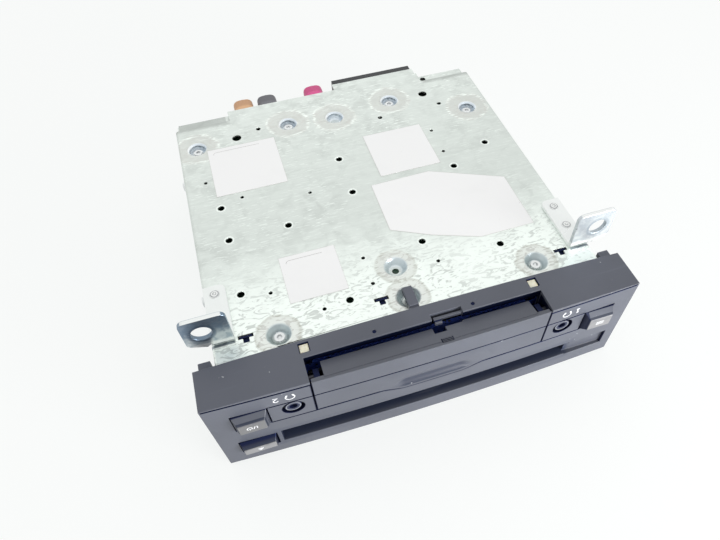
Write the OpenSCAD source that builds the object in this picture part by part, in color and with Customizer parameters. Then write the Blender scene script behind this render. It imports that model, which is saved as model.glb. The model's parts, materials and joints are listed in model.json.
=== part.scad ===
// Slot-loading in-car disc player, lying on its lid with its underside up.
// +Z is up, +Y runs back to the connectors, and the front panel faces -Y.
// Depths are counted from the bezel's front corners, heights from the resting plane.

/* [Case] */
// Width over the pan's folded sides
body_w = 180; // [178:1:210]
// Height from the lid's resting face to the pan's outer face
body_h = 55.2; // [54:0.2:70]
// Depth of the case behind the bezel
body_d = 168; // [166:1:200]
// Thickness of the case sheet
sheet = 1; // [0.8:0.1:1.2]
// Height of the pan's folded sides
fold_h = 12; // [9:0.5:20]
// Outer radius of the sheet's bends
bend_r = 1.8; // [1.4:0.1:3]
// Clearance between sheets that nest
nest_gap = 0.1; // [0.05:0.05:0.2]
// Depth of the lowered tails at the pan's rear corners
tail_d = 8.8; // [7:0.2:12]
// Drop of those tails below the pan
tail_drop = 3; // [2:0.1:3.5]
// Length of the sloping run down to the tails
tail_run = 2.1; // [1.5:0.1:4]
// Width of the level tongue between the tails
tongue_w = 118; // [116.8:0.2:140]
// Reach of the shelf over the header, past the tongue
shelf_d = 5.5; // [3:0.5:10]

/* [Pan details] */
// Depth of the drawn dishes
dish_d = 4; // [3.2:0.1:4.6]
// Rim radius of the rear dishes
rear_dish_r = 4.9; // [4.6:0.1:6]
// Rim radius of the front dishes
front_dish_r = 5.6; // [5:0.1:6.5]
// Floor radius of the dishes
dish_floor_r = 3.2; // [2.8:0.1:3.8]
// Radius of the fixing holes in the pan
fix_hole_r = 1.7; // [1.2:0.1:2.2]
// Radius of the two locating holes near the rear
locate_hole_r = 2.5; // [2:0.1:3]
// Radius of the small holes near the rear
small_hole_r = 1.25; // [1:0.05:1.6]
// Radius of the pricked dots
dot_r = 0.9; // [0.6:0.1:1.2]
// Length of the tee slots
tee_w = 6.6; // [6:0.1:8]
// Width of the tee slots
tee_d = 1.8; // [1.6:0.1:2.4]
// Distance of the outer tee slots from the case's sides
tee_side = 14.8; // [14:0.2:20]
// Distance of the tee slots behind the pan's front edge
tee_back = 10.8; // [9:0.2:13]
// Thickness of the paper labels
label_t = 0.15; // [0.1:0.05:0.3]

/* [Fasteners] */
// Shank radius of the machine screws
screw_r = 1.4; // [1.2:0.05:1.5]
// Head radius of the machine screws
screw_head_r = 2.4; // [2.1:0.1:2.6]
// Head height of the machine screws
screw_head_h = 1.6; // [1.2:0.1:2]
// Radial clearance of a screw in its hole
screw_gap = 0.2; // [0.1:0.05:0.3]
// Radial clearance of a screw in its thread
thread_gap = 0.05; // [0.02:0.01:0.1]
// Height of the hex nuts under the main board
nut_h = 5; // [3:0.5:6]
// Corner radius of the hex nuts
nut_r = 3; // [2.6:0.1:3.4]

/* [Mounting ears] */
// Thickness of the ear plate
ear_t = 2; // [1.5:0.1:2.5]
// How far an ear lies over the pan
ear_lap = 10.5; // [10:0.5:13.5]
// How far an ear reaches past the case's side
ear_over = 8.8; // [6:0.2:12]
// Length of an ear's foot on the pan
ear_foot = 31; // [28:0.5:40]
// Height of an ear above the pan
ear_h = 21; // [18:0.5:26]
// Distance of the ears behind the pan's front edge
ear_back = 9.8; // [7:0.2:12]
// Distance of an ear hole's middle from the ear's outer edge
ear_hole_in = 7.8; // [6.8:0.1:10]
// Height of the ear holes above the pan
ear_hole_h = 11.6; // [9:0.2:13]
// Radius of the ear holes
ear_hole_r = 4.25; // [3:0.05:4.8]
// Corner radius of the ears
ear_corner = 3; // [1:0.5:4]
// Shank radius of the ear rivets
rivet_r = 2; // [1.5:0.1:2.2]
// Distance between the two rivets of an ear
rivet_pitch = 13; // [10:0.5:16]

/* [Bezel] */
// How far the bezel reaches past the case's sides
bezel_side = 9; // [9:0.5:14]
// Depth of the bezel at its ends
bezel_d = 18.9; // [18.9:0.1:22]
// How far the bezel stands above the pan
bezel_lip = 1.3; // [1.1:0.1:3]
// Bow of the front face at the middle
crown = 2.4; // [1:0.1:4]
// Bow of the upward face at the middle
belly = 1.8; // [0.5:0.1:3]
// Thickness of the bezel's side, top and bottom walls
wall = 2.4; // [2:0.1:2.8]
// Depth of the inside of the front wall
front_in = 2; // [1.8:0.1:2.2]
// Gap between the bezel and the case
bezel_gap = 0.3; // [0.2:0.05:0.6]
// Width and depth of the decor grooves
groove = 0.5; // [0.3:0.05:0.7]
// Width of the snap arms
arm_w = 5.6; // [4.5:0.1:5.8]
// Thickness of the snap arms
arm_t = 2.4; // [1.6:0.1:2.6]

/* [Disc mouth] */
// Diameter of the disc that goes in
disc_d = 120; // [112:1:122]
// Thickness of the disc
disc_t = 1.2; // [1.1:0.1:1.4]
// Height of the disc's path
disc_z = 15.3; // [15:0.1:17]
// Wall between the mouth and the eject key's opening
mouth_side = 1.95; // [1.95:0.05:4]
// Height of the mouth
mouth_h = 10.8; // [9:0.1:11]
// Wall of the mouth's tunnel
tunnel_wall = 1.6; // [1.2:0.1:1.7]
// Depth at which the tunnel ends
tunnel_end = 17.5; // [16:0.1:17.6]
// Height of the inner slit
slit_h = 6; // [5:0.1:7]
// Side clearance of the disc in the slit
slit_side = 2.5; // [1:0.1:4]
// Thickness of the felts
felt_t = 1.2; // [0.8:0.1:1.3]
// How far each felt reaches over the slit
felt_in = 0.75; // [0.2:0.05:0.9]
// Depth of the blank pocket beside the mouth
pocket_deep = 1.6; // [0.8:0.1:2]
// Width of the blank pocket
pocket_w = 21; // [15:0.5:22]

/* [Keys] */
// Distance of the upper keys' middle from the bezel's ends
key_end = 17.4; // [16:0.1:18]
// Height of the upper keys' middle below the bezel's top edge
key_down = 17.8; // [17:0.1:18.5]
// Width of the upper keys' openings
key_w = 15.6; // [12:0.1:15.6]
// Height of the upper keys' openings
key_h = 14; // [12:0.1:15]
// Width of the upper keys' faces
key_face_w = 11.4; // [8:0.1:12]
// Height of the upper keys' faces
key_face_h = 7.4; // [6:0.1:9]
// How far the upper keys stand out
key_out = 3.6; // [2:0.1:4]
// Distance of the eject key's middle from the bezel's end
eject_end = 16.45; // [16:0.05:16.6]
// Height of the eject key's middle
eject_z = 14.5; // [13.5:0.1:15.5]
// Width of the eject key's opening
eject_w = 17.2; // [14:0.1:17.2]
// Height of the eject key's opening
eject_h = 11; // [9:0.1:11.5]
// Width of the eject key's face
eject_face_w = 14.3; // [10:0.1:14.5]
// Height of the eject key's face
eject_face_h = 4.7; // [3:0.1:6]
// How far the eject key stands out
eject_out = 3; // [2:0.1:4]
// Gap round a key in its opening
key_gap = 0.35; // [0.25:0.05:0.5]
// Travel of the keys
key_travel = 0.8; // [0.4:0.1:0.9]
// Side of the square key stems
stem_w = 5; // [4:0.1:6]
// Radius of the switch plungers
plunger_r = 1.5; // [1.2:0.05:1.8]
// Radial clearance of a pin that turns or slides
run_gap = 0.05; // [0.02:0.01:0.1]

/* [Flap] */
// Distance from the flap's ends to the middle of the headphone sockets
flap_side = 9.5; // [9.3:0.1:11]
// Distance of the flap's lower edge below the bezel's top edge
flap_down = 24.2; // [23.8:0.1:26]
// Gap round the flap
flap_gap = 0.5; // [0.3:0.05:0.7]
// Depth of the flap opening in the bezel's upward face
flap_open_d = 10.2; // [9.8:0.1:10.6]
// Depth of the flap panel's back
flap_in = 0.6; // [0.3:0.05:0.7]
// Depth of the rear edge of the flap's leg
leg_end = 8.3; // [7.6:0.1:8.6]
// Distance from the flap's ends to the ends of its leg
leg_step = 5.8; // [5.3:0.1:9]
// Thickness of the flap's leg
leg_t = 1.8; // [1.4:0.1:2]
// Depth of the flap's hinge line
hinge_y = 3.5; // [3.2:0.1:3.8]
// Distance of the hinge line below the bezel's top edge
hinge_down = 4.5; // [4.2:0.1:4.8]
// Radius of the hinge pins
pin_r = 1.25; // [1:0.05:1.3]
// Width of the finger pull
lip_w = 40; // [30:1:50]
// How far the finger pull stands out
lip_out = 2.3; // [1:0.1:3]
// Height over which the finger pull blends into the panel
lip_h = 5; // [4:0.1:7]

/* [Headphone sockets] */
// Distance of the sockets from the upper keys' middle
jack_side = 18.3; // [17.6:0.1:19]
// Distance of the sockets below the bezel's top edge
jack_down = 16.2; // [15.5:0.1:17]
// Radius of the socket openings in the bezel
jack_open_r = 4.9; // [4.8:0.1:5.2]
// Outer radius of the metal rings
ring_r = 3.6; // [3.2:0.1:4]
// Radius of the plug hole
plug_r = 1.8; // [1.75:0.05:2]
// Length of the metal sleeve
sleeve_len = 11; // [9:0.5:11.5]
// Width of the socket housings
jack_w = 11; // [10.4:0.1:11.2]

/* [Light guides] */
// Distance of the light guides' middle inside the flap's ends
guide_in = 1; // [0.2:0.1:1.8]
// Side of the light guides
guide_w = 4; // [3:0.1:4.4]
// Depth of the light guides' middle
guide_y = 15; // [14.8:0.1:15.4]

/* [Boards] */
// Thickness of the circuit boards
board_t = 1.6; // [1:0.1:1.6]
// Depth of the key board's front face
key_board_y = 13.5; // [13.5:0.1:13.8]
// Distance from the main board's edges to the case's sides
board_side = 5; // [4.5:0.5:6]
// Distance from the bezel to the main board's front edge
board_front = 3.8; // [3:0.1:5]
// Distance from the main board's rear edge to the back
board_rear = 15; // [14.5:0.1:16]
// Thickness of the flat cables
ribbon_t = 0.4; // [0.3:0.05:0.6]
// Width of the flat cables
ribbon_w = 14; // [10:0.5:16]

/* [Input sockets] */
// Spacing of the phono sockets
phono_pitch = 20; // [14:0.5:22]
// Distance of the phono sockets below the bezel's top edge
phono_down = 17.3; // [17:0.1:18]
// Outer radius of the phono shells
phono_r = 4.15; // [3.9:0.05:4.3]
// Wall of the phono shells
phono_wall = 0.6; // [0.4:0.05:0.8]

/* [Rear sockets] */
// Radius of the coaxial socket housings
coax_r = 6; // [5.4:0.1:6]
// Height of the coaxial sockets' axis below the pan's outer face
coax_down = 7.8; // [7.8:0.1:8.6]
// How far the rear sockets stand out behind the case
socket_out = 13.3; // [11:0.1:16]
// Radius of the coaxial socket bores
coax_bore_r = 4.4; // [4:0.1:4.8]
// Depth of the coaxial socket bores
coax_bore_d = 11; // [8:0.5:12]
// Outer radius of the coaxial contact tubes
contact_r = 2; // [1.6:0.1:2.2]
// Width of the header
header_w = 50.5; // [46:0.5:50.5]
// Height of the header
header_h = 18.1; // [16:0.1:20]
// Distance of the header's middle from the case's middle
header_x = 32.4; // [30:0.2:33]
// Wall of the header's shroud
shroud_wall = 1.8; // [1.2:0.1:2.2]
// Depth of the header's cavity
shroud_d = 20; // [16:0.5:22]
// Radius of the header's pins
header_pin_r = 0.5; // [0.4:0.05:0.6]

/* [Drive] */
// Distance of the spindle behind the bezel
spindle_back = 76; // [75.5:0.1:78]
// Height of the deck above the disc's path
deck_rise = 4.7; // [4.6:0.1:5]
// Thickness of the deck and its cheeks
deck_t = 1.2; // [1:0.1:1.4]
// Distance from the dampers to the inner face of the deck's cheeks
cheek_side = 8.5; // [8.1:0.1:9.5]
// Distance of the dampers from the lid's walls
damper_side = 8.4; // [7.9:0.1:9.4]
// Distance of the deck's rear edge from the back
deck_rear = 17; // [16:0.5:19]
// Radius of the dampers
damper_r = 4; // [3.5:0.1:4.5]
// Height of the dampers
damper_h = 9.8; // [9.2:0.1:10.5]
// Thickness of the drive rails
rail_t = 1; // [0.8:0.1:1.2]
// Distance of the feed roller behind the bezel
roller_back = 11; // [10.5:0.1:11.5]
// Radius of the feed roller at its ends
roller_r = 3.5; // [3.2:0.1:3.7]
// Radius of the feed roller at its middle
roller_waist_r = 3; // [2.6:0.1:3.1]
// Radius of the feed roller's shaft
shaft_r = 1.5; // [1.2:0.05:1.6]
// Gear module
gear_m = 0.6; // [0.6:0.01:0.62]
// Face width of the gears
gear_w = 2.4; // [2:0.1:3]
// Radius of the loading motor
motor_r = 6; // [5:0.1:6.4]
// Length of the loading motor
motor_len = 20; // [16:0.5:24]
// Radius of the spindle motor
spindle_motor_r = 11; // [9:0.1:12]
// Height of the spindle motor
spindle_motor_h = 6; // [5:0.1:7]
// Radius of the turntable
turntable_r = 15; // [12:0.1:15.5]
// Radius of the hub that centres the disc
hub_r = 7.4; // [7:0.05:7.45]
// Radius of the spindle
spindle_r = 1; // [0.8:0.05:1.2]
// Distance of the guide rods from the middle
rod_x = 19; // [18:0.1:20]
// Radius of the guide rods and the lead screw
rod_r = 1.5; // [1.2:0.05:1.6]
// Travel of the pickup sled
sled_travel = 34; // [28:0.5:35]
// Radius of the lens
lens_r = 2.6; // [2:0.1:3]
// Radius of the clamper
clamper_r = 13; // [11:0.1:14]
// Turn of the clamp arm
clamp_turn = 2.9; // [2:0.1:3]

/* [Hidden] */
$fn = 72;

// Case planes
case_y = bezel_d + bezel_gap;
back_y = case_y + body_d;
tail_y = back_y - tail_d;
pan_under = body_h - sheet;
tail_under = pan_under - tail_drop;
lid_half = body_w / 2 - sheet - nest_gap;
lid_in = lid_half - sheet;
socket_y = back_y + socket_out;
tee_x = body_w / 2 - tee_side;
ear_in = body_w / 2 - ear_lap;
ear_out = body_w / 2 + ear_over;
ear_hole_x = ear_out - ear_hole_in;

// Bezel planes and rows
bezel_w = body_w + 2 * bezel_side;
bezel_h = body_h + bezel_lip;
face_r = (pow(bezel_w / 2, 2) + crown * crown) / (2 * crown);
inner_top = bezel_h - wall;
key_x = bezel_w / 2 - key_end;
key_z = bezel_h - key_down;
eject_x = eject_end - bezel_w / 2;
mouth_w = 2 * (-eject_x - eject_w / 2 - mouth_side);
jack_x = key_x - jack_side;
flap_w = 2 * (jack_x - flap_side);
leg_w = flap_w - 2 * leg_step;
guide_x = flap_w / 2 - guide_in;
jack_z = bezel_h - jack_down;
flap_z = bezel_h - flap_down;
hinge_z = bezel_h - hinge_down;
phono_z = bezel_h - phono_down;
band_low = key_z - key_h / 2;
band_high = key_z + key_h / 2;
mouth_z = [disc_z - mouth_h / 2, disc_z + mouth_h / 2];
slit_w = disc_d + 2 * slit_side;
felt_h = 3.4;
pocket_x = [mouth_w / 2 - 0.1, mouth_w / 2 + pocket_w];
face_step = 8;
arc_steps = 8;

// Key mechanism: stems meet the plungers in front of the switches
flange_y = front_in + 0.2;
flange_t = 1.4;
flange_lap = 0.8;
switch_w = 6;
switch_h = 3.5;
switch_y = key_board_y - switch_h;
stem_end = switch_y - key_travel - 0.6;
plunger_end = switch_y + 2.2;

// Boards
board_top = pan_under - dish_d;
board_under = board_top - board_t;
board_y = [case_y + board_front, back_y - board_rear];
key_board_back = key_board_y + board_t;
key_board_top = inner_top - 7.1;
key_board_low = mouth_z[1] + tunnel_wall + 1.9;

// Places in the pan, counted from the middle and the front edge, or from the back for those near the rear.
// They are set out on a pan of the drawn width and spread with the real one.
drawn_w = 180;
function spread(list) = [for (p = list) [p[0] * body_w / drawn_w, p[1]]];
rear_screw_at = spread([[-80, 27.7], [-27.5, 22.3], [34.5, 20.6], [76, 41.4]]);
blank_dish_at = spread([[-0.5, 25.2]]);
front_screw_at = spread([[-61.5, 7.5], [61.5, 8.3]]);
open_dish_at = spread([[-2, 26.6]]);
finger_dish_at = spread([[-2, 8.3]]);
fix_hole_at = spread([
  [-7.5, 106.6], [-7.5, 80.1], [-74, 90.3], [-73.5, 67.5], [-44, 68], [-73.5, 33.4],
  [-27.5, 14.8], [73, 94], [49.5, 81.6], [15, 36.9], [50, 23.5]
]);
locate_hole_at = spread([[-57.5, 25.5], [55.5, 21.3]]);
small_hole_at = spread([[-44.5, 21.6], [61.5, 33.1], [24.5, 34.5]]);
dot_at = spread([
  [-79, 111.3], [-62.5, 94.8], [-28.5, 86.8], [-60.5, 30], [-39.5, 13.7],
  [-15, 36.1], [48.5, 112.9], [48.5, 94.4], [-15, 20.3], [18, 23.1]
]);
// Labels as a near left corner, a width and a depth, and the outline of the cut-cornered one
label_at = spread([[-74.8, 98.8], [10, 86.3], [-53.2, 21.1]]);
label_size = [[37.2, 37.4], [33.6, 34], [27, 27.2]];
label_cut = spread([
  [3, 81.2], [35, 81.8], [71.2, 65], [71.2, 30.6], [43, 30.4], [20.5, 39.2], [2.6, 48.7]
]);
tee_at = [-tee_x, -14, tee_x];
tee_y = case_y + tee_back;
tee_stem = 2.6;
side_screw_at = [40, 120];
side_screw_down = 7;

// Rear sockets
coax_z = body_h - coax_down;
coax_at = [-48.8, -34.3, -5.2];
header_z = [pan_under - 0.6 - header_h, pan_under - 0.6];
header_span = [header_x - header_w / 2, header_x + header_w / 2];
socket_front = board_y[1] + 1;
socket_block = 3.2;
block_y = [socket_front - socket_block, socket_front + 1];
header_mid = (header_z[0] + header_z[1]) / 2;
header_cols = 10;
header_pitch = 4.4;
header_row = 5.6;

// Drive
deck_z = disc_z + deck_rise;
deck_top = deck_z + deck_t;
spindle_y = case_y + spindle_back;
deck_front = spindle_y - disc_d / 2 - 1;
deck_back = back_y - deck_rear;
damper_x = lid_in - damper_side;
cheek_x = damper_x - cheek_side;
cheek_front = case_y + 2.3;
cheek_out = cheek_x + deck_t;
damper_at = [spindle_y - 33, deck_back - 18];
rail_z = deck_top + damper_h;
roller_y = case_y + roller_back;
roller_z = disc_z + disc_t / 2 + 0.6 + roller_r;
gear_x = cheek_out + 1.5;
roller_teeth = 24;
idler_teeth = 18;
pinion_teeth = 14;
idler_lift = 60;
idler_y = roller_y + gear_m * (roller_teeth + idler_teeth) / 2 * cos(idler_lift);
idler_z = roller_z + gear_m * (roller_teeth + idler_teeth) / 2 * sin(idler_lift);
pinion_y = idler_y + gear_m * (idler_teeth + pinion_teeth) / 2;
pinion_z = idler_z;
motor_shaft_r = 0.8;
idler_stud_r = 1.2;
idler_phase = idler_lift + 180 + 180 / idler_teeth;
idler_pitch = 360 / idler_teeth;
idler_offset = idler_phase - idler_pitch * round(idler_phase / idler_pitch);
pinion_phase = 180 + 180 / pinion_teeth - idler_offset * idler_teeth / pinion_teeth;
rod_z = deck_top + 5;
sled_half = 9;
sled_w = 48;
sled_y = spindle_y + 26;
screw_x = -28;
screw_z = deck_top + 5.8;
bracket_y = spindle_y + 10.8;
holder_y = spindle_y + 9.5;
holder_t = 4;
hinge_arm_y = deck_back - 4;
hinge_arm_z = disc_z - 5.3;
arm_z = disc_z - 8.3;

// Middle of the whole depth, which the origin lies under
front_y = -crown - lip_out;
mid_y = (front_y + socket_y) / 2;

// Depth of the bowed front face at a place across it
function face_y(x) = face_r - crown - sqrt(face_r * face_r - x * x);
// Points along the bowed face between two places, set back by an inset
function face_line(x, inset) =
  let (n = max(2, 2 * ceil((x[1] - x[0]) / face_step / 2)))
  [for (i = [0 : n]) let (p = x[0] + (x[1] - x[0]) * i / n) [p, face_y(p) + inset]];
// Points on an arc
function arc(c, r, from, to) =
  [for (i = [0 : arc_steps]) let (a = from + (to - from) * i / arc_steps) c + r * [cos(a), sin(a)]];
// A list from its end to its start
function reversed(list) = [for (i = [len(list) - 1 : -1 : 0]) list[i]];
// Range about a middle
function about(mid, half) = [mid - half, mid + half];
// Involute of an angle in degrees
function involute(a) = tan(a) * 180 / PI - a;

// Box between two corners given as ranges
module span(x, y, z) {
  translate([x[0], y[0], z[0]]) cube([x[1] - x[0], y[1] - y[0], z[1] - z[0]]);
}
// Rods along each axis
module rod_along_x(x, y, z, r) {
  translate([x[0], y, z]) rotate([0, 90, 0]) cylinder(r = r, h = x[1] - x[0]);
}
module rod_along_y(x, y, z, r) {
  translate([x, y[0], z]) rotate([-90, 0, 0]) cylinder(r = r, h = y[1] - y[0]);
}
module rod_along_z(x, y, z, r) {
  translate([x, y, z[0]]) cylinder(r = r, h = z[1] - z[0]);
}
// A section drawn in X and Z, run along Y
module run_y(y) {
  translate([0, y[1], 0]) rotate([90, 0, 0]) linear_extrude(y[1] - y[0]) children();
}
// A section drawn in Y and Z, run along X
module run_x(x) {
  translate([x[0], 0, 0]) rotate([90, 0, 90]) linear_extrude(x[1] - x[0]) children();
}
// A block behind the bowed face
module faced(x, z, inset, back) {
  translate([0, 0, z[0]]) linear_extrude(z[1] - z[0])
    polygon(concat(face_line(x, inset), [[x[1], back], [x[0], back]]));
}
// A skin of the bowed face, as deep as a groove
module face_groove(x, z) {
  translate([0, 0, z - groove / 2]) linear_extrude(groove)
    polygon(concat(face_line(x, -1), reversed(face_line(x, groove))));
}
// Left and right copies
module both_sides() {
  children();
  mirror([1, 0, 0]) children();
}
// The part stands with the middle of its depth over the origin
module seat() {
  translate([0, -mid_y, 0]) children();
}
// An involute spur gear about X, with a tooth pointing along the phase angle
module gear(teeth, phase, bore) {
  pitch_r = gear_m * teeth / 2;
  base_r = pitch_r * cos(20);
  root_r = pitch_r - 1.2 * gear_m;
  tip_r = pitch_r + 0.9 * gear_m;
  half = 90 / teeth - 0.06 / pitch_r * 180 / PI + involute(20);
  start_r = max(base_r, root_r);
  radii = [for (i = [0 : 4]) start_r + (tip_r - start_r) * i / 4];
  flank = concat([[root_r, half]], [for (r = radii) [r, half - involute(acos(base_r / r))]]);
  last = len(flank) - 1;
  outline = [
    for (t = [0 : teeth - 1])
      let (at = phase + 360 * t / teeth)
      each concat(
        [for (f = flank) f[0] * [cos(at - f[1]), sin(at - f[1])]],
        [for (i = [last : -1 : 0]) flank[i][0] * [cos(at + flank[i][1]), sin(at + flank[i][1])]]
      )
  ];
  rotate([90, 0, 90]) difference() {
    linear_extrude(gear_w) polygon(outline);
    translate([0, 0, -1]) cylinder(r = bore, h = gear_w + 2);
  }
}

// Drawn dish with a flange that lies in the sheet
module dish(at, rim) {
  lap = 1;
  translate([at[0], at[1], body_h]) rotate_extrude()
    polygon([
      [0, -dish_d - sheet], [dish_floor_r + 0.4, -dish_d - sheet], [rim + 0.4, -sheet], [rim + lap, -sheet],
      [rim + lap, 0], [rim, 0], [dish_floor_r, -dish_d], [0, -dish_d]
    ]);
}
// Every dish as a place in the frame and a rim radius
function from_back(p) = [p[0], back_y - p[1]];
function from_front(p) = [p[0], case_y + p[1]];
rear_dishes = [for (p = concat(rear_screw_at, blank_dish_at)) from_back(p)];
front_dishes = [for (p = concat(front_screw_at, open_dish_at, finger_dish_at)) from_front(p)];
board_screws = concat([for (p = rear_screw_at) from_back(p)], [for (p = front_screw_at) from_front(p)]);

// Pan: top sheet, folded sides, level tongue, header shelf and lowered tails
module base_pan() {
  h = body_w / 2;
  top = body_h - bend_r;
  fold_z = body_h - fold_h;
  shelf_x = [header_span[0] - 1, header_span[1] + 0.3];
  tail_x = [tongue_w / 2, h - bend_r];
  slope = 0.4;
  color("gainsboro") difference() {
    union() {
      difference() {
        union() {
          run_y([case_y, tail_y]) polygon(concat(
            [[-h, fold_z]], arc([bend_r - h, top], bend_r, 180, 90),
            arc([h - bend_r, top], bend_r, 90, 0), [[h, fold_z], [h - sheet, fold_z]],
            arc([h - bend_r, top], bend_r - sheet, 0, 90),
            arc([bend_r - h, top], bend_r - sheet, 90, 180), [[sheet - h, fold_z]]
          ));
          span([-tongue_w / 2, tongue_w / 2], [tail_y - 1, back_y], [pan_under, body_h]);
          span(shelf_x, [back_y - 1, back_y + shelf_d], [pan_under, body_h]);
        }
        for (p = rear_dishes) rod_along_z(p[0], p[1], [tail_under, body_h + 1], rear_dish_r + 0.5);
        for (p = front_dishes) rod_along_z(p[0], p[1], [tail_under, body_h + 1], front_dish_r + 0.5);
      }
      for (p = rear_dishes) dish(p, rear_dish_r);
      for (p = front_dishes) dish(p, front_dish_r);
      both_sides() run_x(tail_x) polygon([
        [tail_y - 1, pan_under], [tail_y - slope, pan_under], [tail_y + tail_run - slope, tail_under],
        [back_y, tail_under], [back_y, tail_under + sheet], [tail_y + tail_run, tail_under + sheet],
        [tail_y, body_h], [tail_y - 1, body_h]
      ]);
    }
    for (p = board_screws) rod_along_z(p[0], p[1], [board_under, body_h], screw_r + screw_gap);
    for (p = open_dish_at) rod_along_z(p[0], case_y + p[1], [board_under, body_h], screw_r + screw_gap);
    for (p = fix_hole_at) rod_along_z(p[0], case_y + p[1], [board_under, body_h + 1], fix_hole_r);
    for (p = locate_hole_at) rod_along_z(p[0], back_y - p[1], [board_under, body_h + 1], locate_hole_r);
    for (p = small_hole_at) rod_along_z(p[0], back_y - p[1], [board_under, body_h + 1], small_hole_r);
    for (p = dot_at) rod_along_z(p[0], case_y + p[1], [board_under, body_h + 1], dot_r);
    rod_along_z(tongue_w / 2 + 3.4, back_y - 3.2, [board_under, body_h + 1], fix_hole_r);
    for (x = tee_at) {
      span(about(x, tee_w / 2), about(tee_y, tee_d / 2), [board_under, body_h + 1]);
      span(about(x, tee_stem / 2), [tee_y - tee_d / 2 - 2.2, tee_y], [board_under, body_h + 1]);
    }
    both_sides() for (p = rivet_at) rod_along_z(p[0], p[1], [board_under, body_h + 1], rivet_r + run_gap);
    for (d = side_screw_at)
      rod_along_x([-h - 1, h + 1], case_y + d, body_h - side_screw_down, screw_r + screw_gap);
  }
}

// Lid: floor and two side walls that stand inside the pan's folds
module lid() {
  h = lid_half;
  rim = body_h - bend_r;
  color("lightgrey") difference() {
    run_y([case_y, back_y]) polygon(concat(
      [[-h, rim]], arc([bend_r - h, bend_r], bend_r, 180, 270),
      arc([h - bend_r, bend_r], bend_r, 270, 360), [[h, rim], [h - sheet, rim]],
      arc([h - bend_r, bend_r], bend_r - sheet, 360, 270),
      arc([bend_r - h, bend_r], bend_r - sheet, 270, 180), [[sheet - h, rim]]
    ));
    for (d = side_screw_at)
      rod_along_x([-h - 1, h + 1], case_y + d, body_h - side_screw_down, screw_r + thread_gap);
    both_sides() span([tongue_w / 2, h + 1], [tail_y - 1.5, back_y + 1], [tail_under, rim + 1]);
  }
}

// Rear panel: stands on the lid and closes the case under the pan's tongue and tails
module rear_panel() {
  y = [back_y - sheet - nest_gap, back_y - nest_gap];
  cut = y + [-1, 1];
  color("silver") difference() {
    union() {
      span([nest_gap - lid_in, lid_in - nest_gap], y, [sheet, tail_under]);
      span([-tongue_w, tongue_w] / 2, y, [sheet, pan_under]);
    }
    for (x = coax_at) rod_along_y(x, cut, coax_z, coax_r + screw_gap);
    span(header_span + [-1, 1] * screw_gap, cut, header_z + [-1, 1] * screw_gap);
    both_sides() rod_along_z(lid_in, cut[0] + 1.5, [0, bend_r], bend_r * 1.5);
  }
}

// Right mounting ear: foot on the pan, bend and upright tab with its hole
ear_y = case_y + ear_back;
ear_foot_out = body_w / 2 - 0.5;
rivet_mid = ear_y + ear_foot - 11.5;
rivet_at = [for (s = [-1, 1]) [(ear_in + ear_foot_out) / 2, rivet_mid + s * rivet_pitch / 2]];
module ear() {
  top = body_h + ear_h;
  c = ear_corner;
  foot_end = ear_y + ear_foot;
  color("lightsteelblue") difference() {
    union() {
      translate([0, 0, body_h]) linear_extrude(ear_t) polygon(concat(
        [[ear_in, ear_y + ear_t], [ear_foot_out, ear_y + ear_t], [ear_foot_out, foot_end]],
        arc([ear_in + c, foot_end - c], c, 90, 180)
      ));
      run_x([ear_in, ear_foot_out]) polygon(concat(
        [[ear_y + ear_t + 1, body_h]], arc([ear_y + ear_t, body_h + ear_t], ear_t, 270, 180),
        [[ear_y + ear_t, body_h + ear_t + 1], [ear_y + ear_t + 1, body_h + ear_t]]
      ));
      run_y([ear_y, ear_y + ear_t]) polygon(concat(
        [[ear_in, body_h + ear_t], [ear_foot_out, body_h + ear_t], [ear_foot_out + 1.5, body_h + 1]],
        [[ear_out - 1.5, body_h + 3.4], [ear_out, body_h + 5]],
        arc([ear_out - c, top - c], c, 0, 90), arc([ear_in + c, top - c], c, 90, 180)
      ));
    }
    rod_along_y(ear_hole_x, [ear_y - 1, ear_y + ear_t + 1], body_h + ear_hole_h, ear_hole_r);
    for (p = rivet_at) rod_along_z(p[0], p[1], [body_h - 1, body_h + ear_t + 1], rivet_r + run_gap);
  }
}
module ear_right() {
  ear();
}
module ear_left() {
  mirror([1, 0, 0]) ear();
}
// Ear rivets: low domed heads above, upset ends under the pan
module ear_rivets() {
  head = 0.4;
  color("silver") both_sides() for (p = rivet_at) translate([p[0], p[1], 0]) rotate_extrude() polygon([
    [0, pan_under - head], [rivet_r + 0.5, pan_under - head], [rivet_r + 0.5, pan_under],
    [rivet_r, pan_under], [rivet_r, body_h + ear_t], [rivet_r + 0.3, body_h + ear_t],
    [rivet_r - 0.4, body_h + ear_t + head], [0, body_h + ear_t + head]
  ]);
}

// Machine screw pointing down from its seat, with a hexagon socket
module screw(length) {
  difference() {
    union() {
      cylinder(r = screw_head_r, h = screw_head_h);
      translate([0, 0, -length]) cylinder(r = screw_r, h = length + 0.5);
    }
    translate([0, 0, screw_head_h / 2]) cylinder(r = screw_head_r * 0.5, h = screw_head_h, $fn = 6);
  }
}
// Screws: through the dishes and main board, through the folds, and holding the key board
module screws() {
  seat_z = body_h - dish_d;
  color("dimgray") {
    for (p = board_screws) translate([p[0], p[1], seat_z]) screw(dish_d + board_t + nut_h - 2.5);
    both_sides() for (d = side_screw_at)
      translate([body_w / 2, case_y + d, body_h - side_screw_down]) rotate([0, 90, 0]) screw(4);
    for (p = boss_at) translate([p[0], key_board_back, p[1]]) rotate([-90, 0, 0]) screw(6);
  }
}
// Hex nuts under the main board
module board_nuts() {
  color("goldenrod") for (p = board_screws) translate([p[0], p[1], board_under - nut_h]) difference() {
    cylinder(r = nut_r, h = nut_h, $fn = 6);
    translate([0, 0, -1]) cylinder(r = screw_r + thread_gap, h = nut_h + 2);
  }
}

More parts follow.
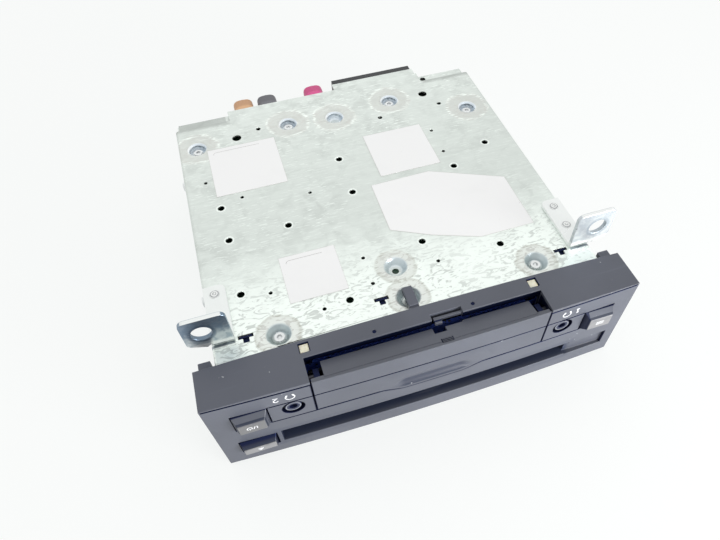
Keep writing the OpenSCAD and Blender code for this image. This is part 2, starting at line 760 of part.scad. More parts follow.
// Paper labels on the pan: three squares and a cut-cornered one
module labels() {
  color("white") translate([0, case_y, body_h]) linear_extrude(label_t) {
    for (i = [0 : len(label_at) - 1]) translate(label_at[i]) square(label_size[i]);
    polygon(label_cut);
  }
}

// Bezel bosses that hold the key board
boss_in = 11.1;
boss_out = 10.1;
boss_rise = [3.3, 4.8];
boss_place = [
  [key_x - boss_in, key_board_low + boss_rise[0]], [key_x + boss_out, key_board_low + boss_rise[1]]
];
boss_at = [for (s = [-1, 1], p = boss_place) [s * p[0], p[1]]];
boss_r = 2.4;
hinge_boss = 3.2;
// Notch behind the flap and the catch finger in it
catch_x = [2.6, 16.9];
catch_d = 3;
catch_z = [bezel_h - 1.3, bezel_h + 0.5];
module catch_finger() {
  span([catch_x[0] + 1, catch_x[1] + 1], [flap_open_d + 0.7, flap_open_d + 1.9], catch_z);
  span([catch_x[0] + 1, catch_x[0] + 4.4], [flap_open_d - 1.5, flap_open_d + 1.9], catch_z);
}
// The bowed block that the bezel is cut from
module bezel_block() {
  h = bezel_w / 2;
  n = 2 * ceil(bezel_w / face_step / 2);
  intersection() {
    faced([-h, h], [0, bezel_h + belly], 0, bezel_d);
    run_y([-crown - 1, bezel_d + 1]) polygon(concat(
      [[-h - 1, -1], [h + 1, -1], [h + 1, bezel_h]],
      [for (i = [n : -1 : 0]) let (x = -h + bezel_w * i / n) [x, bezel_h + belly * (1 - pow(x / h, 2))]],
      [[-h - 1, bezel_h]]
    ));
  }
}
// Arms that snap into the pan's tee slots from below
module snap_arms() {
  z = [pan_under - 0.3 - arm_t, pan_under - 0.3];
  tip = tee_y + tee_d / 2 - 0.3;
  for (x = tee_at) {
    span([x - arm_w / 2, x + arm_w / 2], [bezel_d - 5, tip], z);
    span([x - arm_w / 2, x + arm_w / 2], [bezel_d - 5, bezel_d], [z[0], inner_top + 0.5]);
    span([x - arm_w / 2, x + arm_w / 2], [tip - tee_d + 0.6, tip], [z[1] - 0.5, body_h - 0.3]);
  }
}
// Finger over the pan whose tip hooks into a dish
module locking_finger() {
  x = about(finger_dish_at[0][0], 2.2);
  y = case_y + finger_dish_at[0][1];
  z = [body_h + 0.4, bezel_h + belly];
  span(x, [bezel_d - 1, y + 3], [z[0], z[1] - 0.6]);
  span(x, [bezel_d + 1.2, y + 3], [z[0], z[1] + 0.4]);
  span([x[0] + 0.9, x[1] - 0.9], [y - 0.5, y + 1.5], [body_h - dish_d + 0.6, z[0] + 0.5]);
}
module bezel() {
  h = bezel_w / 2;
  mx = [-mouth_w, mouth_w] / 2;
  ow = flap_w / 2 + flap_gap;
  cheek = 2;
  color("#3a3b40") catch_finger();
  color("#3a3b40") difference() {
    union() {
      difference() {
        bezel_block();
        span([wall - h, h - wall], [front_in, bezel_d + 1], [wall, inner_top]);
      }
      span(mx + [-1, 1] * tunnel_wall, [front_in - 0.5, tunnel_end], mouth_z + [-1, 1] * tunnel_wall);
      both_sides() {
        span([ow, ow + cheek], [front_in - 0.5, flap_open_d + 1], [band_low - 1, inner_top + 0.5]);
        rod_along_x([ow, ow + hinge_boss], hinge_y, hinge_z, pin_r + 1.6);
        span([body_w / 2 + 1.6, h - 2.2], [bezel_d - 3, bezel_d + 4.6], [body_h - 10, body_h - 1]);
      }
      for (p = boss_at) rod_along_y(p[0], [front_in - 0.5, key_board_y], p[1], boss_r);
      snap_arms();
      locking_finger();
    }
    span(mx, [-crown - 1, tunnel_end - 2], mouth_z);
    span([-slit_w, slit_w] / 2, [tunnel_end - 3, tunnel_end + 1], about(disc_z, slit_h / 2));
    faced(pocket_x, mouth_z - [0.9, 0.9], -2, face_y(pocket_x[1]) + pocket_deep);
    span([-ow, ow], [-crown - 1, flap_open_d], [flap_z - flap_gap, bezel_h + belly + 1]);
    span(catch_x, [flap_open_d - 1, flap_open_d + catch_d], [inner_top - 1, bezel_h + belly + 1]);
    both_sides() {
      rod_along_x([ow - 1, ow + hinge_boss + 1], hinge_y, hinge_z, pin_r + run_gap);
      rod_along_y(jack_x, [-crown - 1, front_in + 1], jack_z, jack_open_r);
      span(
        about(guide_x, guide_w / 2 + 0.15), about(guide_y, guide_w / 2 + 0.25),
        [inner_top - 1, bezel_h + belly + 1]
      );
      rod_along_z(22.6, 12.9, [bezel_h + belly - 0.5, bezel_h + belly + 1], 0.9);
      for (z = [band_low, band_high]) face_groove([ow - 0.5, key_x - key_w / 2 + 0.5], z);
      face_groove([ow - 0.5, h - groove], bezel_h - 0.9);
      span(about(key_x, key_w / 2), [-crown - 1, front_in + 1], about(key_z, key_h / 2));
    }
    span(about(eject_x, eject_w / 2), [-crown - 1, front_in + 1], about(eject_z, eject_h / 2));
    for (p = boss_at) rod_along_y(p[0], [front_in + 3, key_board_y + 1], p[1], screw_r + thread_gap);
  }
}
// Felts on the inner side of the mouth
module slot_felts() {
  edge = slit_h / 2 - felt_in;
  color("#202020") for (side = [0, 1]) translate([0, 0, disc_z]) mirror([0, 0, side])
    span([-slit_w, slit_w] / 2, [tunnel_end, tunnel_end + felt_t], [edge, edge + felt_h]);
}
// Light guides: stand on the key board and show in the bezel's upward face
module light_guides() {
  color("ivory") both_sides()
    span(about(guide_x, guide_w / 2), about(guide_y, guide_w / 2 + 0.1), [key_board_top, bezel_h + 0.5]);
}

// Flap: bowed panel with a finger pull, sloping leg, hinge ears and catch hook
module flap() {
  h = flap_w / 2;
  top = bezel_h + belly - 0.7;
  leg_z = bezel_h - 1.7;
  ridge = -crown - 0.6;
  color("#45464b") difference() {
    union() {
      intersection() {
        faced([-h, h], [flap_z, top + 1], 0, leg_end + 1);
        union() {
          span([-h - 1, h + 1], [-crown - 1, flap_in], [flap_z, bezel_h]);
          run_x([-h, h])
            polygon([[ridge, bezel_h - 2], [flap_in, bezel_h - 2], [flap_in, top - 1], [ridge, top]]);
          run_x([-leg_w, leg_w] / 2) polygon([
            [0, top - 0.7 - leg_t], [leg_end, leg_z - leg_t], [leg_end, leg_z], [-0.4, top - 0.6]
          ]);
        }
      }
      finger_pull();
      both_sides() run_x([leg_w / 2 + 1.4, leg_w / 2 + 4]) polygon([
        [0.3, hinge_z - 4], [hinge_y + pin_r + 1.3, hinge_z - 2.4], [hinge_y + pin_r + 1.3, hinge_z + 2],
        [0.3, hinge_z + 3.2]
      ]);
    }
    face_groove([-h, h], band_high);
    span([catch_x[0] - 0.5, catch_x[0] + 5.1], [5, leg_end + 1], [leg_z - leg_t - 1, top + 1]);
    span([catch_x[0] + 5, catch_x[1] - 0.9], [leg_end - 0.8, leg_end + 1], [leg_z - leg_t - 1, top + 1]);
    span([3.2, 8.6], [-1, 1.2], [top - 1.2, top + 1]);
    both_sides() rod_along_x([leg_w / 2, h + 1], hinge_y, hinge_z, pin_r + thread_gap / 2);
  }
}
// Finger pull: a lens in plan that fades upwards in a hollow curve
module finger_pull() {
  n = 16;
  edge = 1.1;
  intersection() {
    translate([0, 0, flap_z]) linear_extrude(lip_h + edge) polygon(concat(
      [for (i = [0 : n]) let (x = lip_w * (i / n - 0.5), bump = (1 + cos(360 * x / lip_w)) / 2)
        [x, face_y(x) - lip_out * bump]],
      [[lip_w / 2, flap_in - 0.2], [-lip_w / 2, flap_in - 0.2]]
    ));
    run_x([-lip_w, lip_w] / 2) polygon(concat(
      [[flap_in, flap_z], [-crown - lip_out, flap_z], [-crown - lip_out, flap_z + edge]],
      [for (i = [1 : n]) let (a = 90 * i / n)
        [-crown - lip_out * (1 - sin(a)), flap_z + edge + lip_h * (1 - cos(a))]],
      [[flap_in, flap_z + edge + lip_h]]
    ));
  }
}
// Hinge pins: fixed in the flap's ears, turning in the bezel's bosses
module flap_pins() {
  color("silver") both_sides()
    rod_along_x([leg_w / 2 + 1.4, flap_w / 2 + flap_gap + hinge_boss - 0.3], hinge_y, hinge_z, pin_r);
}

// A key: bevelled cap, body in the opening, flange behind the wall and stem
module key(x, z, size, face, out) {
  base = face_y(x);
  body = size - [2, 2] * key_gap;
  w = body[0] / 2;
  h = body[1] / 2;
  translate([x, 0, z]) {
    intersection() {
      translate([0, 0, -h]) linear_extrude(2 * h) polygon([
        [-w, flange_y], [-w, base], [-face[0] / 2, base - out], [face[0] / 2, base - out], [w, base],
        [w, flange_y]
      ]);
      run_x([-w, w]) polygon([
        [flange_y, -h], [base, -h], [base - out, -face[1] / 2], [base - out, face[1] / 2], [base, h],
        [flange_y, h]
      ]);
    }
    span([-w, w], [flange_y, flange_y + flange_t], about(0, size[1] / 2 + flange_lap));
    span([-stem_w, stem_w] / 2, [flange_y, stem_end], [-stem_w, stem_w] / 2);
  }
}
module power_key() {
  color("#55565b") key(-key_x, key_z, [key_w, key_h], [key_face_w, key_face_h], key_out);
}
module mode_key() {
  color("#55565b") key(key_x, key_z, [key_w, key_h], [key_face_w, key_face_h], key_out);
}
module eject_key() {
  color("#55565b") key(eject_x, eject_z, [eject_w, eject_h], [eject_face_w, eject_face_h], eject_out);
}
// Switch plungers: pushed by the stems into the switches
module plunger(x, z) {
  color("ivory") rod_along_y(x, [stem_end, plunger_end], z, plunger_r);
}
module power_plunger() {
  plunger(-key_x, key_z);
}
module mode_plunger() {
  plunger(key_x, key_z);
}
module eject_plunger() {
  plunger(eject_x, eject_z);
}
// Key switches on the key board
switch_at = [[-key_x, key_z], [key_x, key_z], [eject_x, eject_z]];
module key_switches() {
  color("#303030") for (p = switch_at) difference() {
    span(about(p[0], switch_w / 2), [switch_y, key_board_y], about(p[1], switch_w / 2));
    rod_along_y(p[0], [switch_y - 1, key_board_y - 0.3], p[1], plunger_r + run_gap);
  }
}
// Key board: a strip above the mouth with a leg down to the eject key
module key_board() {
  half = bezel_w / 2 - 6;
  y = [key_board_y, key_board_back];
  color("darkgreen") difference() {
    union() {
      span([-half, half], y, [key_board_low, key_board_top]);
      span([-half, -mouth_w / 2 - tunnel_wall - 2.5], y, [wall + 1.6, key_board_low + 1]);
    }
    for (p = boss_at) rod_along_y(p[0], y + [-1, 1], p[1], screw_r + screw_gap);
  }
}

// Headphone sockets: black housings on the key board, with metal sleeves for the plug
ring_y = face_y(jack_x) + 0.5;
ring_flange = 1.4;
sleeve_r = plug_r + 0.8;
module jack_housings() {
  y = [front_in, key_board_y];
  color("#1c1c1e") both_sides() difference() {
    union() {
      span(about(jack_x, jack_w / 2), y, about(jack_z, jack_w / 2));
      rod_along_y(jack_x, [ring_y + ring_flange, front_in + 1], jack_z, jack_open_r - 0.2);
    }
    rod_along_y(jack_x, [ring_y - 1, ring_y + sleeve_len], jack_z, sleeve_r + thread_gap);
  }
}
module jack_rings() {
  color("silver") both_sides() translate([jack_x, ring_y, jack_z]) rotate([-90, 0, 0]) rotate_extrude()
    polygon([
      [plug_r, 0], [ring_r, 0], [ring_r, ring_flange], [sleeve_r, ring_flange], [sleeve_r, sleeve_len],
      [plug_r, sleeve_len]
    ]);
}

// Input panel behind the flap: a plate on three bosses that stand on the key board
phono_at = [-phono_pitch, 0, phono_pitch];
panel_y = [9.5, 11];
panel_h = 11.2;
phono_in = phono_r - phono_wall;
insert_y = 7.5;
module input_panel() {
  h = flap_w / 2 - 0.2;
  color("#26272a") difference() {
    union() {
      span([-h, h], panel_y, about(phono_z, panel_h / 2));
      for (x = phono_at) rod_along_y(x, [panel_y[0], key_board_y], phono_z, phono_r + 1.2);
    }
    for (x = phono_at) rod_along_y(x, [panel_y[0] - 1, key_board_y - 1], phono_z, phono_r + thread_gap);
  }
}
// Metal shells of the phono sockets
module input_shells() {
  color("gold") for (x = phono_at) difference() {
    rod_along_y(x, [2.2, key_board_y - 1], phono_z, phono_r);
    rod_along_y(x, [2, key_board_y], phono_z, phono_in);
  }
}
// Coloured insert with the centre contact hole
module phono_insert(i) {
  difference() {
    rod_along_y(phono_at[i], [insert_y, key_board_y - 1], phono_z, phono_in - thread_gap);
    rod_along_y(phono_at[i], [insert_y - 1, key_board_y - 2], phono_z, 1.6);
  }
}
module input_yellow() {
  color("gold") phono_insert(0);
}
module input_white() {
  color("white") phono_insert(1);
}
module input_red() {
  color("firebrick") phono_insert(2);
}

// Main board: hangs from the dishes of the pan
module main_board() {
  h = body_w / 2 - board_side;
  color("seagreen") difference() {
    span([-h, h], board_y, [board_under, board_top]);
    for (p = board_screws) rod_along_z(p[0], p[1], [board_under - 1, board_top + 1], screw_r + screw_gap);
  }
}
// Chips under the board, as a place from the spindle and a width, depth and height
chip_at = [[-40, 15], [5, 33], [20, -23], [-30, -40]];
chip_size = [[22, 22, 2.4], [20, 14, 2], [16, 16, 2], [12, 12, 1.6]];
module board_chips() {
  color("#222222") for (i = [0 : len(chip_at) - 1]) span(
    about(chip_at[i][0], chip_size[i][0] / 2), about(spindle_y + chip_at[i][1], chip_size[i][1] / 2),
    [board_under - chip_size[i][2], board_under]
  );
}
can_r = 4;
can_h = 9;
can_x = 66;
can_back = [22, 34];
module board_capacitors() {
  color("steelblue") both_sides() for (back = can_back)
    rod_along_z(can_x, spindle_y + back, [board_under - can_h, board_under], can_r);
}
// Sockets of the flat cables: deck to main board, and key board to main board
deck_socket = [45, spindle_y + 25];
board_socket = [45, spindle_y + 43];
front_socket_z = key_board_top - 5.3;
front_cable_x = 30;
board_socket_front = board_y[0] + 1;
socket_h = 3.6;
under_board = [board_under - socket_h, board_under];
module ribbon_sockets() {
  half = ribbon_w / 2 + 1;
  color("ivory") {
    span(about(deck_socket[0], half), about(deck_socket[1], 2), [deck_top, deck_top + socket_h]);
    span(about(board_socket[0], half), about(board_socket[1], 2), under_board);
    span(
      about(front_cable_x, half), [key_board_back, key_board_back + socket_h], about(front_socket_z, 1.8)
    );
    span(about(front_cable_x, half), [board_socket_front, board_socket_front + 4], under_board);
  }
}
// Flat cables that ease from one socket to the other
module ribbon_cables() {
  n = 16;
  rise = board_under - deck_top - 2 * socket_h;
  run = board_socket[1] - deck_socket[1];
  gap = board_socket_front - key_board_back - socket_h;
  lift = board_under - socket_h / 2 - front_socket_z;
  ease = [for (i = [0 : n]) let (t = i / n) [t, t * t * (3 - 2 * t)]];
  color("whitesmoke") {
    translate([deck_socket[0], deck_socket[1], deck_top + socket_h])
      run_x([-ribbon_w, ribbon_w] / 2) polygon(concat(
        [for (e = ease) [run * e[1] - ribbon_t / 2, rise * e[0]]],
        [for (e = reversed(ease)) [run * e[1] + ribbon_t / 2, rise * e[0]]]
      ));
    translate([front_cable_x, key_board_back + socket_h, front_socket_z])
      run_x([-ribbon_w, ribbon_w] / 2) polygon(concat(
        [for (e = ease) [gap * e[0], lift * e[1] - ribbon_t / 2]],
        [for (e = reversed(ease)) [gap * e[0], lift * e[1] + ribbon_t / 2]]
      ));
  }
}

// Coaxial socket: round housing on a block under the main board
module coax(i) {
  x = coax_at[i];
  floor_y = socket_y - coax_bore_d;
  difference() {
    union() {
      rod_along_y(x, [socket_front, socket_y], coax_z, coax_r);
      span(about(x, coax_r), block_y, [board_under - 8, board_under]);
    }
    rod_along_y(x, [floor_y, socket_y + 1], coax_z, coax_bore_r);
    rod_along_y(x, [floor_y - 6, floor_y + 1], coax_z, header_pin_r + run_gap);
  }
}
module coax_tan() {
  color("#b98a5a") coax(0);
}
module coax_grey() {
  color("#4c4a4d") coax(1);
}
module coax_magenta() {
  color("#b8326f") coax(2);
}
// Centre pins and contact tubes of the coaxial sockets
module coax_contacts() {
  floor_y = socket_y - coax_bore_d;
  color("gold") for (x = coax_at) {
    rod_along_y(x, [floor_y - 6, socket_y - 4], coax_z, header_pin_r);
    difference() {
      rod_along_y(x, [floor_y, socket_y - 2.5], coax_z, contact_r);
      rod_along_y(x, [floor_y - 1, socket_y], coax_z, contact_r - 0.4);
    }
  }
}
// Header: open shroud behind the case, on a block under the main board
header_floor = socket_y - shroud_d;
module header_pin_places() {
  first = header_x - (header_cols - 1) / 2 * header_pitch;
  for (i = [0 : header_cols - 1], s = [-1, 1])
    translate([first + i * header_pitch, 0, header_mid + s * header_row / 2]) children();
}
module header_shroud() {
  inner_h = header_h - 2 * shroud_wall;
  color("#1b1b1d") difference() {
    union() {
      span(header_span, [socket_front, socket_y], header_z);
      span(header_span, block_y, [header_z[0], board_under]);
    }
    span(
      about(header_x, header_w / 2 - shroud_wall), [header_floor, socket_y + 1],
      about(header_mid, inner_h / 2)
    );
    header_pin_places() rod_along_y(0, [header_floor - 4, header_floor + 1], 0, header_pin_r + run_gap);
  }
}
module header_pins() {
  color("gold") header_pin_places() rod_along_y(0, [header_floor - 4, header_floor + 11], 0, header_pin_r);
}

// Drive rails: angle strips on the lid's walls, whose shelves the dampers hang from
module drive_rails() {
  y = [damper_at[0] - 8, damper_at[1] + 8];
  color("silver") both_sides() {
    span([lid_in - rail_t, lid_in], y, [rail_z - 7, rail_z + rail_t]);
    span([damper_x - damper_r - 1, lid_in], y, [rail_z, rail_z + rail_t]);
  }
}
// Rubber dampers between the deck's lugs and the rails
module dampers() {
  waist = damper_r - 1;
  color("#2a2a2a") both_sides() for (y = damper_at) translate([damper_x, y, deck_top]) rotate_extrude()
    polygon([
      [0, 0], [damper_r, 0], [damper_r, damper_h * 0.3], [waist, damper_h * 0.45], [waist, damper_h * 0.55],
      [damper_r, damper_h * 0.7], [damper_r, damper_h], [0, damper_h]
    ]);
}
// Deck: plate over the disc, cheeks, lugs for the dampers and for the clamp arm, idler stud
clamp_lug_x = 28;
clamp_lug = [clamp_lug_x, clamp_lug_x + deck_t];
module drive_deck() {
  cheek = [cheek_x, cheek_out];
  tower = [idler_y - 4, pinion_y + motor_r + 1.6];
  color("lightslategray") difference() {
    union() {
      span([-cheek_x, cheek_x], [deck_front, deck_back], [deck_z, deck_top]);
      both_sides() {
        span(cheek, [cheek_front, cheek_front + 18.5], [disc_z - 7.3, deck_z + 8]);
        span(cheek, [cheek_front + 10, deck_back], [deck_z, deck_z + 7]);
        for (y = damper_at) span([cheek_x, damper_x + damper_r + 1], about(y, 6), [deck_z, deck_top]);
        span(clamp_lug, [hinge_arm_y - 4, deck_back], [hinge_arm_z - 3.5, deck_z + 0.5]);
      }
      span([-cheek_out, -cheek_x], tower, [deck_z, pinion_z + motor_r + 1]);
      rod_along_x([-gear_x - gear_w - 0.4, -cheek_x], idler_y, idler_z, idler_stud_r);
    }
    rod_along_z(0, spindle_y, [deck_z - 1, deck_top + 1], 4);
    span([-14, 14], [spindle_y + 14, deck_back - 3], [deck_z - 1, deck_top + 1]);
    both_sides() {
      rod_along_x(cheek + [-1, 1], roller_y, roller_z, shaft_r + run_gap);
      rod_along_x(clamp_lug + [-1, 1], hinge_arm_y, hinge_arm_z, rod_r + run_gap);
    }
    rod_along_x([-cheek_out - 1, 1 - cheek_x], pinion_y, pinion_z, 2.2);
  }
}
// Disc guide: plastic bar under the disc's path, between the cheeks
module disc_guide() {
  y = [roller_y - 8, roller_y + 8];
  low = disc_z - 7.1;
  top = disc_z - disc_t / 2 - 0.4;
  color("#2e2e30") run_x([nest_gap - cheek_x, cheek_x - nest_gap])
    polygon([
      [y[0], low], [y[1], low], [y[1], top - 1.8], [y[1] - 4, top], [y[0] + 5, top], [y[0], top - 2.3]
    ]);
}
// Feed roller: waisted rubber sleeve on its shaft
module feed_roller() {
  half = disc_d / 2 - 2;
  bore = shaft_r + thread_gap / 2;
  color("#1e1e1e") translate([-half, roller_y, roller_z]) rotate([0, 90, 0]) rotate_extrude() polygon([
    [bore, 0], [roller_r, 0], [roller_r, 20], [roller_waist_r, half],
    [roller_r, 2 * half - 20], [roller_r, 2 * half], [bore, 2 * half]
  ]);
}
module roller_shaft() {
  color("silver") rod_along_x([-gear_x - gear_w - 0.4, cheek_out + 2], roller_y, roller_z, shaft_r);
}
// Gear train on the left cheek
module roller_gear() {
  color("ivory") translate([-gear_x - gear_w, roller_y, roller_z])
    gear(roller_teeth, idler_lift, shaft_r + thread_gap / 2);
}
module idler_gear() {
  color("ivory") translate([-gear_x - gear_w, idler_y, idler_z])
    gear(idler_teeth, idler_phase, idler_stud_r + run_gap);
}
module motor_pinion() {
  color("goldenrod") {
    translate([-gear_x - gear_w, pinion_y, pinion_z]) gear(pinion_teeth, pinion_phase, motor_shaft_r - 0.2);
    rod_along_x([-gear_x - gear_w - 0.4, -cheek_x + 10], pinion_y, pinion_z, motor_shaft_r);
  }
}
// Loading motor on the inner side of the left cheek
module loading_motor() {
  color("silver") difference() {
    rod_along_x([-cheek_x, motor_len - cheek_x], pinion_y, pinion_z, motor_r);
    rod_along_x([-cheek_x - 1, 10.5 - cheek_x], pinion_y, pinion_z, motor_shaft_r + run_gap);
  }
}
// Spindle motor on the deck, and the turntable that hangs from its spindle over the disc
module spindle_motor() {
  color("silver") difference() {
    rod_along_z(0, spindle_y, [deck_top, deck_top + spindle_motor_h], spindle_motor_r);
    rod_along_z(0, spindle_y, [deck_top - 1, deck_top + spindle_motor_h - 0.3], spindle_r + run_gap);
  }
}
module turntable() {
  seat_z = disc_z + disc_t / 2 + 0.1;
  tip_z = disc_z - 1.9;
  color("#303033") translate([0, spindle_y, 0]) rotate_extrude() polygon([
    [0, tip_z], [hub_r - 2, tip_z], [hub_r, tip_z + 1.6], [hub_r, seat_z], [turntable_r, seat_z],
    [turntable_r, seat_z + 1.5], [3, seat_z + 1.5], [3, deck_z - 0.2], [spindle_r, deck_z - 0.2],
    [spindle_r, deck_top + spindle_motor_h - 0.5], [0, deck_top + spindle_motor_h - 0.5]
  ]);
}
// Holders of the guide rods, the lead screw's end block and the sled motor's bracket
module rod_holders() {
  front = [holder_y, holder_y + holder_t];
  rear = [deck_back - holder_t, deck_back];
  color("#3c3c3e") difference() {
    union() {
      both_sides() for (y = [front, rear]) span(about(rod_x, 3), y, [deck_top, rod_z + 2.8]);
      span(about(screw_x, 3), rear, [deck_top, screw_z + 3.4]);
      span([screw_x - 6, screw_x + 5.5], [bracket_y, bracket_y + 1.2], [deck_top, screw_z + 5]);
    }
    both_sides() rod_along_y(rod_x, [front[0] - 1, rear[1] + 1], rod_z, rod_r + thread_gap / 2);
    rod_along_y(screw_x, [bracket_y - 1, rear[1] + 1], screw_z, rod_r + run_gap);
  }
}
module guide_rods() {
  color("silver") both_sides() rod_along_y(rod_x, [holder_y, deck_back], rod_z, rod_r);
}
// Pickup sled on the rods, with an arm round the lead screw and a lens holder below
module pickup_sled() {
  y = about(sled_y, sled_half);
  color("#606468") difference() {
    union() {
      span([-sled_w, sled_w] / 2, y, [deck_top + 1, rod_z + 3.6]);
      span([-7, 7], about(sled_y, 7), [deck_z - 1.4, deck_top + 1.5]);
      span([screw_x - 3, 0.5 - sled_w / 2], about(sled_y, 4), [deck_top + 1.6, screw_z + 3]);
    }
    both_sides() rod_along_y(rod_x, y + [-1, 1], rod_z, rod_r + run_gap);
    rod_along_y(screw_x, y, screw_z, rod_r + 2 * run_gap);
  }
}
module pickup_lens() {
  color("lightcyan") rod_along_z(0, sled_y, [deck_z - 2.1, deck_z - 1.4], lens_r);
}
module lead_screw() {
  color("silver") rod_along_y(screw_x, [bracket_y - 8, deck_back - 0.3], screw_z, rod_r);
}
module sled_motor() {
  color("silver") difference() {
    rod_along_y(screw_x, [bracket_y - 14, bracket_y], screw_z, 5);
    rod_along_y(screw_x, [bracket_y - 8.3, bracket_y + 1], screw_z, rod_r + run_gap);
  }
}
// Clamp arm: hinged behind the disc, lifts the clamper to the turntable
module clamp_arm() {
  ear_x = clamp_lug_x - 2;
  color("lightgray") difference() {
    union() {
      translate([0, 0, arm_z]) linear_extrude(deck_t) polygon([
        [-ear_x, hinge_arm_y + 2], [-ear_x, hinge_arm_y - 14], [-14, spindle_y + 20], [-14, spindle_y - 14],
        [14, spindle_y - 14], [14, spindle_y + 20], [ear_x, hinge_arm_y - 14], [ear_x, hinge_arm_y + 2]
      ]);
      both_sides() {
        span([ear_x - deck_t, ear_x], [hinge_arm_y - 4, hinge_arm_y + 2], [arm_z, hinge_arm_z + 2.6]);
        rod_along_x([ear_x - 0.5, clamp_lug_x + deck_t + 0.8], hinge_arm_y, hinge_arm_z, rod_r);
      }
    }
    rod_along_z(0, spindle_y, [arm_z - 1, arm_z + deck_t + 1], 5);
  }
}
// Clamper: turns in the arm and takes the hub in its recess
module clamper() {
  top = arm_z + 4.2;
  color("#28282b") translate([0, spindle_y, 0]) rotate_extrude() polygon([
    [0, arm_z - 1.8], [7, arm_z - 1.8], [7, arm_z - 0.6], [4.8, arm_z - 0.6], [4.8, arm_z + deck_t + 0.5],
    [clamper_r, arm_z + deck_t + 0.5], [clamper_r, top], [hub_r + 0.8, top], [hub_r + 0.8, top - 2.2],
    [0, top - 2.2]
  ]);
}

seat() base_pan();
seat() lid();
seat() rear_panel();
seat() ear_left();
seat() ear_right();
seat() ear_rivets();
seat() screws();
seat() board_nuts();
seat() labels();
seat() bezel();
seat() slot_felts();
seat() light_guides();
seat() flap();
seat() flap_pins();
seat() power_key();
seat() power_plunger();
seat() eject_key();
seat() eject_plunger();
seat() mode_key();
seat() mode_plunger();
seat() key_switches();
seat() key_board();
seat() jack_housings();
seat() jack_rings();
seat() input_panel();
seat() input_shells();
seat() input_yellow();
seat() input_white();
seat() input_red();
seat() main_board();
seat() board_chips();
seat() board_capacitors();
seat() ribbon_sockets();
seat() ribbon_cables();
seat() coax_tan();
seat() coax_grey();
seat() coax_magenta();
seat() coax_contacts();
seat() header_shroud();
seat() header_pins();
seat() drive_rails();
seat() dampers();
seat() drive_deck();
seat() disc_guide();
seat() feed_roller();
seat() roller_shaft();
seat() roller_gear();
seat() idler_gear();
seat() motor_pinion();
seat() loading_motor();
seat() spindle_motor();
seat() turntable();
seat() rod_holders();
seat() guide_rods();
seat() pickup_sled();
seat() pickup_lens();
seat() lead_screw();
seat() sled_motor();
seat() clamp_arm();
seat() clamper();
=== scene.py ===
"""Looks of a slot-loading in-car disc player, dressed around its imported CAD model.

Places are given as in the part's source: millimetres across, back from the bezel's front corners and up from
the resting plane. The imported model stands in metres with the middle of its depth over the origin.
"""

from __future__ import annotations

import json
import logging
import math
from dataclasses import dataclass, field
from enum import Enum
from functools import reduce
from typing import Any, Callable, Iterable, Sequence, Union

import bmesh
import bpy
from mathutils import Matrix, Vector

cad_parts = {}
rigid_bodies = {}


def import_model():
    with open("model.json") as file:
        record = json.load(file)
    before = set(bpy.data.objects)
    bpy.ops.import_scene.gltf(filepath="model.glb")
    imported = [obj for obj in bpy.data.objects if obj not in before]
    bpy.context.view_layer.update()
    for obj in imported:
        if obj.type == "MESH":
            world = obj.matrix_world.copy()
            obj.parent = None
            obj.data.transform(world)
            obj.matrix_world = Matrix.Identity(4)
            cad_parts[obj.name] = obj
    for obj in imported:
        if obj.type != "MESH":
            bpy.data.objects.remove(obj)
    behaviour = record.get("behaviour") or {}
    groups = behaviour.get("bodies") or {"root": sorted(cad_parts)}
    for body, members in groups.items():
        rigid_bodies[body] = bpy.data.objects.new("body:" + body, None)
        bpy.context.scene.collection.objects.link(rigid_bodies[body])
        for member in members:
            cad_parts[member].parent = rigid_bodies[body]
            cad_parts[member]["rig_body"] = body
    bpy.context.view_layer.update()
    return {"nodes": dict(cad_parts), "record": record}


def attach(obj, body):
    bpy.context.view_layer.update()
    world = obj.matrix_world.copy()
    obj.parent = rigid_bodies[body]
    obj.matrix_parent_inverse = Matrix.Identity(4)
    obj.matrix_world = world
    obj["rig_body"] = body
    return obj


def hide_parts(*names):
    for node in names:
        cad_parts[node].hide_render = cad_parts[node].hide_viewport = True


LOG = logging.getLogger("disc_player")
MM = 0.001
SEAT_Y = 97.9
SMOOTH_ANGLE = math.radians(28.0)
FLAT_ANGLE = math.radians(0.08)
WELD = 2e-6
WEIGHT_LAYER = "bevel_weight_edge"
WIDE_SEGMENTS = 5
PLASTIC_IOR = 1.52

Colour = tuple[float, float, float]
Pair = tuple[float, float]
Triple = tuple[float, float, float]
Number = Union["Value", float]
Socket = bpy.types.NodeSocket
Paint = Union[Socket, Colour]
Form = bmesh.types.BMesh
Piece = bpy.types.Object

FRONT_GREY: Colour = (0.082, 0.089, 0.113)
PAN_GREY: Colour = (0.66, 0.70, 0.67)
# Painted shade: near black down gaps, grooves and bores, and navy in shaded hollows.
GAP_SHADE: Colour = (0.006, 0.011, 0.045)
SHADED: Colour = (0.015, 0.024, 0.058)
DUST_GREY: Colour = (0.55, 0.56, 0.58)
# The paler colour painted on the key faces, as lit.
KEY_FACE_LIT: Colour = (0.12, 0.12, 0.124)


def place(x: float, y: float, z: float) -> Vector:
    """A point of the source, in millimetres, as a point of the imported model, in metres."""
    return Vector((x, y - SEAT_Y, z)) * MM


def source_place(point: Vector) -> Triple:
    """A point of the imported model, in metres, as a place of the source, in millimetres."""
    return point.x / MM, point.y / MM + SEAT_Y, point.z / MM


def depth(y: float) -> float:
    """A depth of the source, in millimetres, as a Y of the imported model, in metres."""
    return (y - SEAT_Y) * MM


def shade(colour: Colour, by: float) -> Colour:
    """A colour made lighter or darker by a factor."""
    return tuple(min(1.0, part * by) for part in colour)


class Op(Enum):
    """Operations of Math and Vector Math nodes that the shaders use."""

    ADD = "ADD"
    SUBTRACT = "SUBTRACT"
    MULTIPLY = "MULTIPLY"
    MOST = "MAXIMUM"
    SIZE = "ABSOLUTE"
    DISTANCE = "DISTANCE"


class Axis(Enum):
    """Direction of a grain, of a hole or of a coordinate."""

    X = 0
    Y = 1
    Z = 2


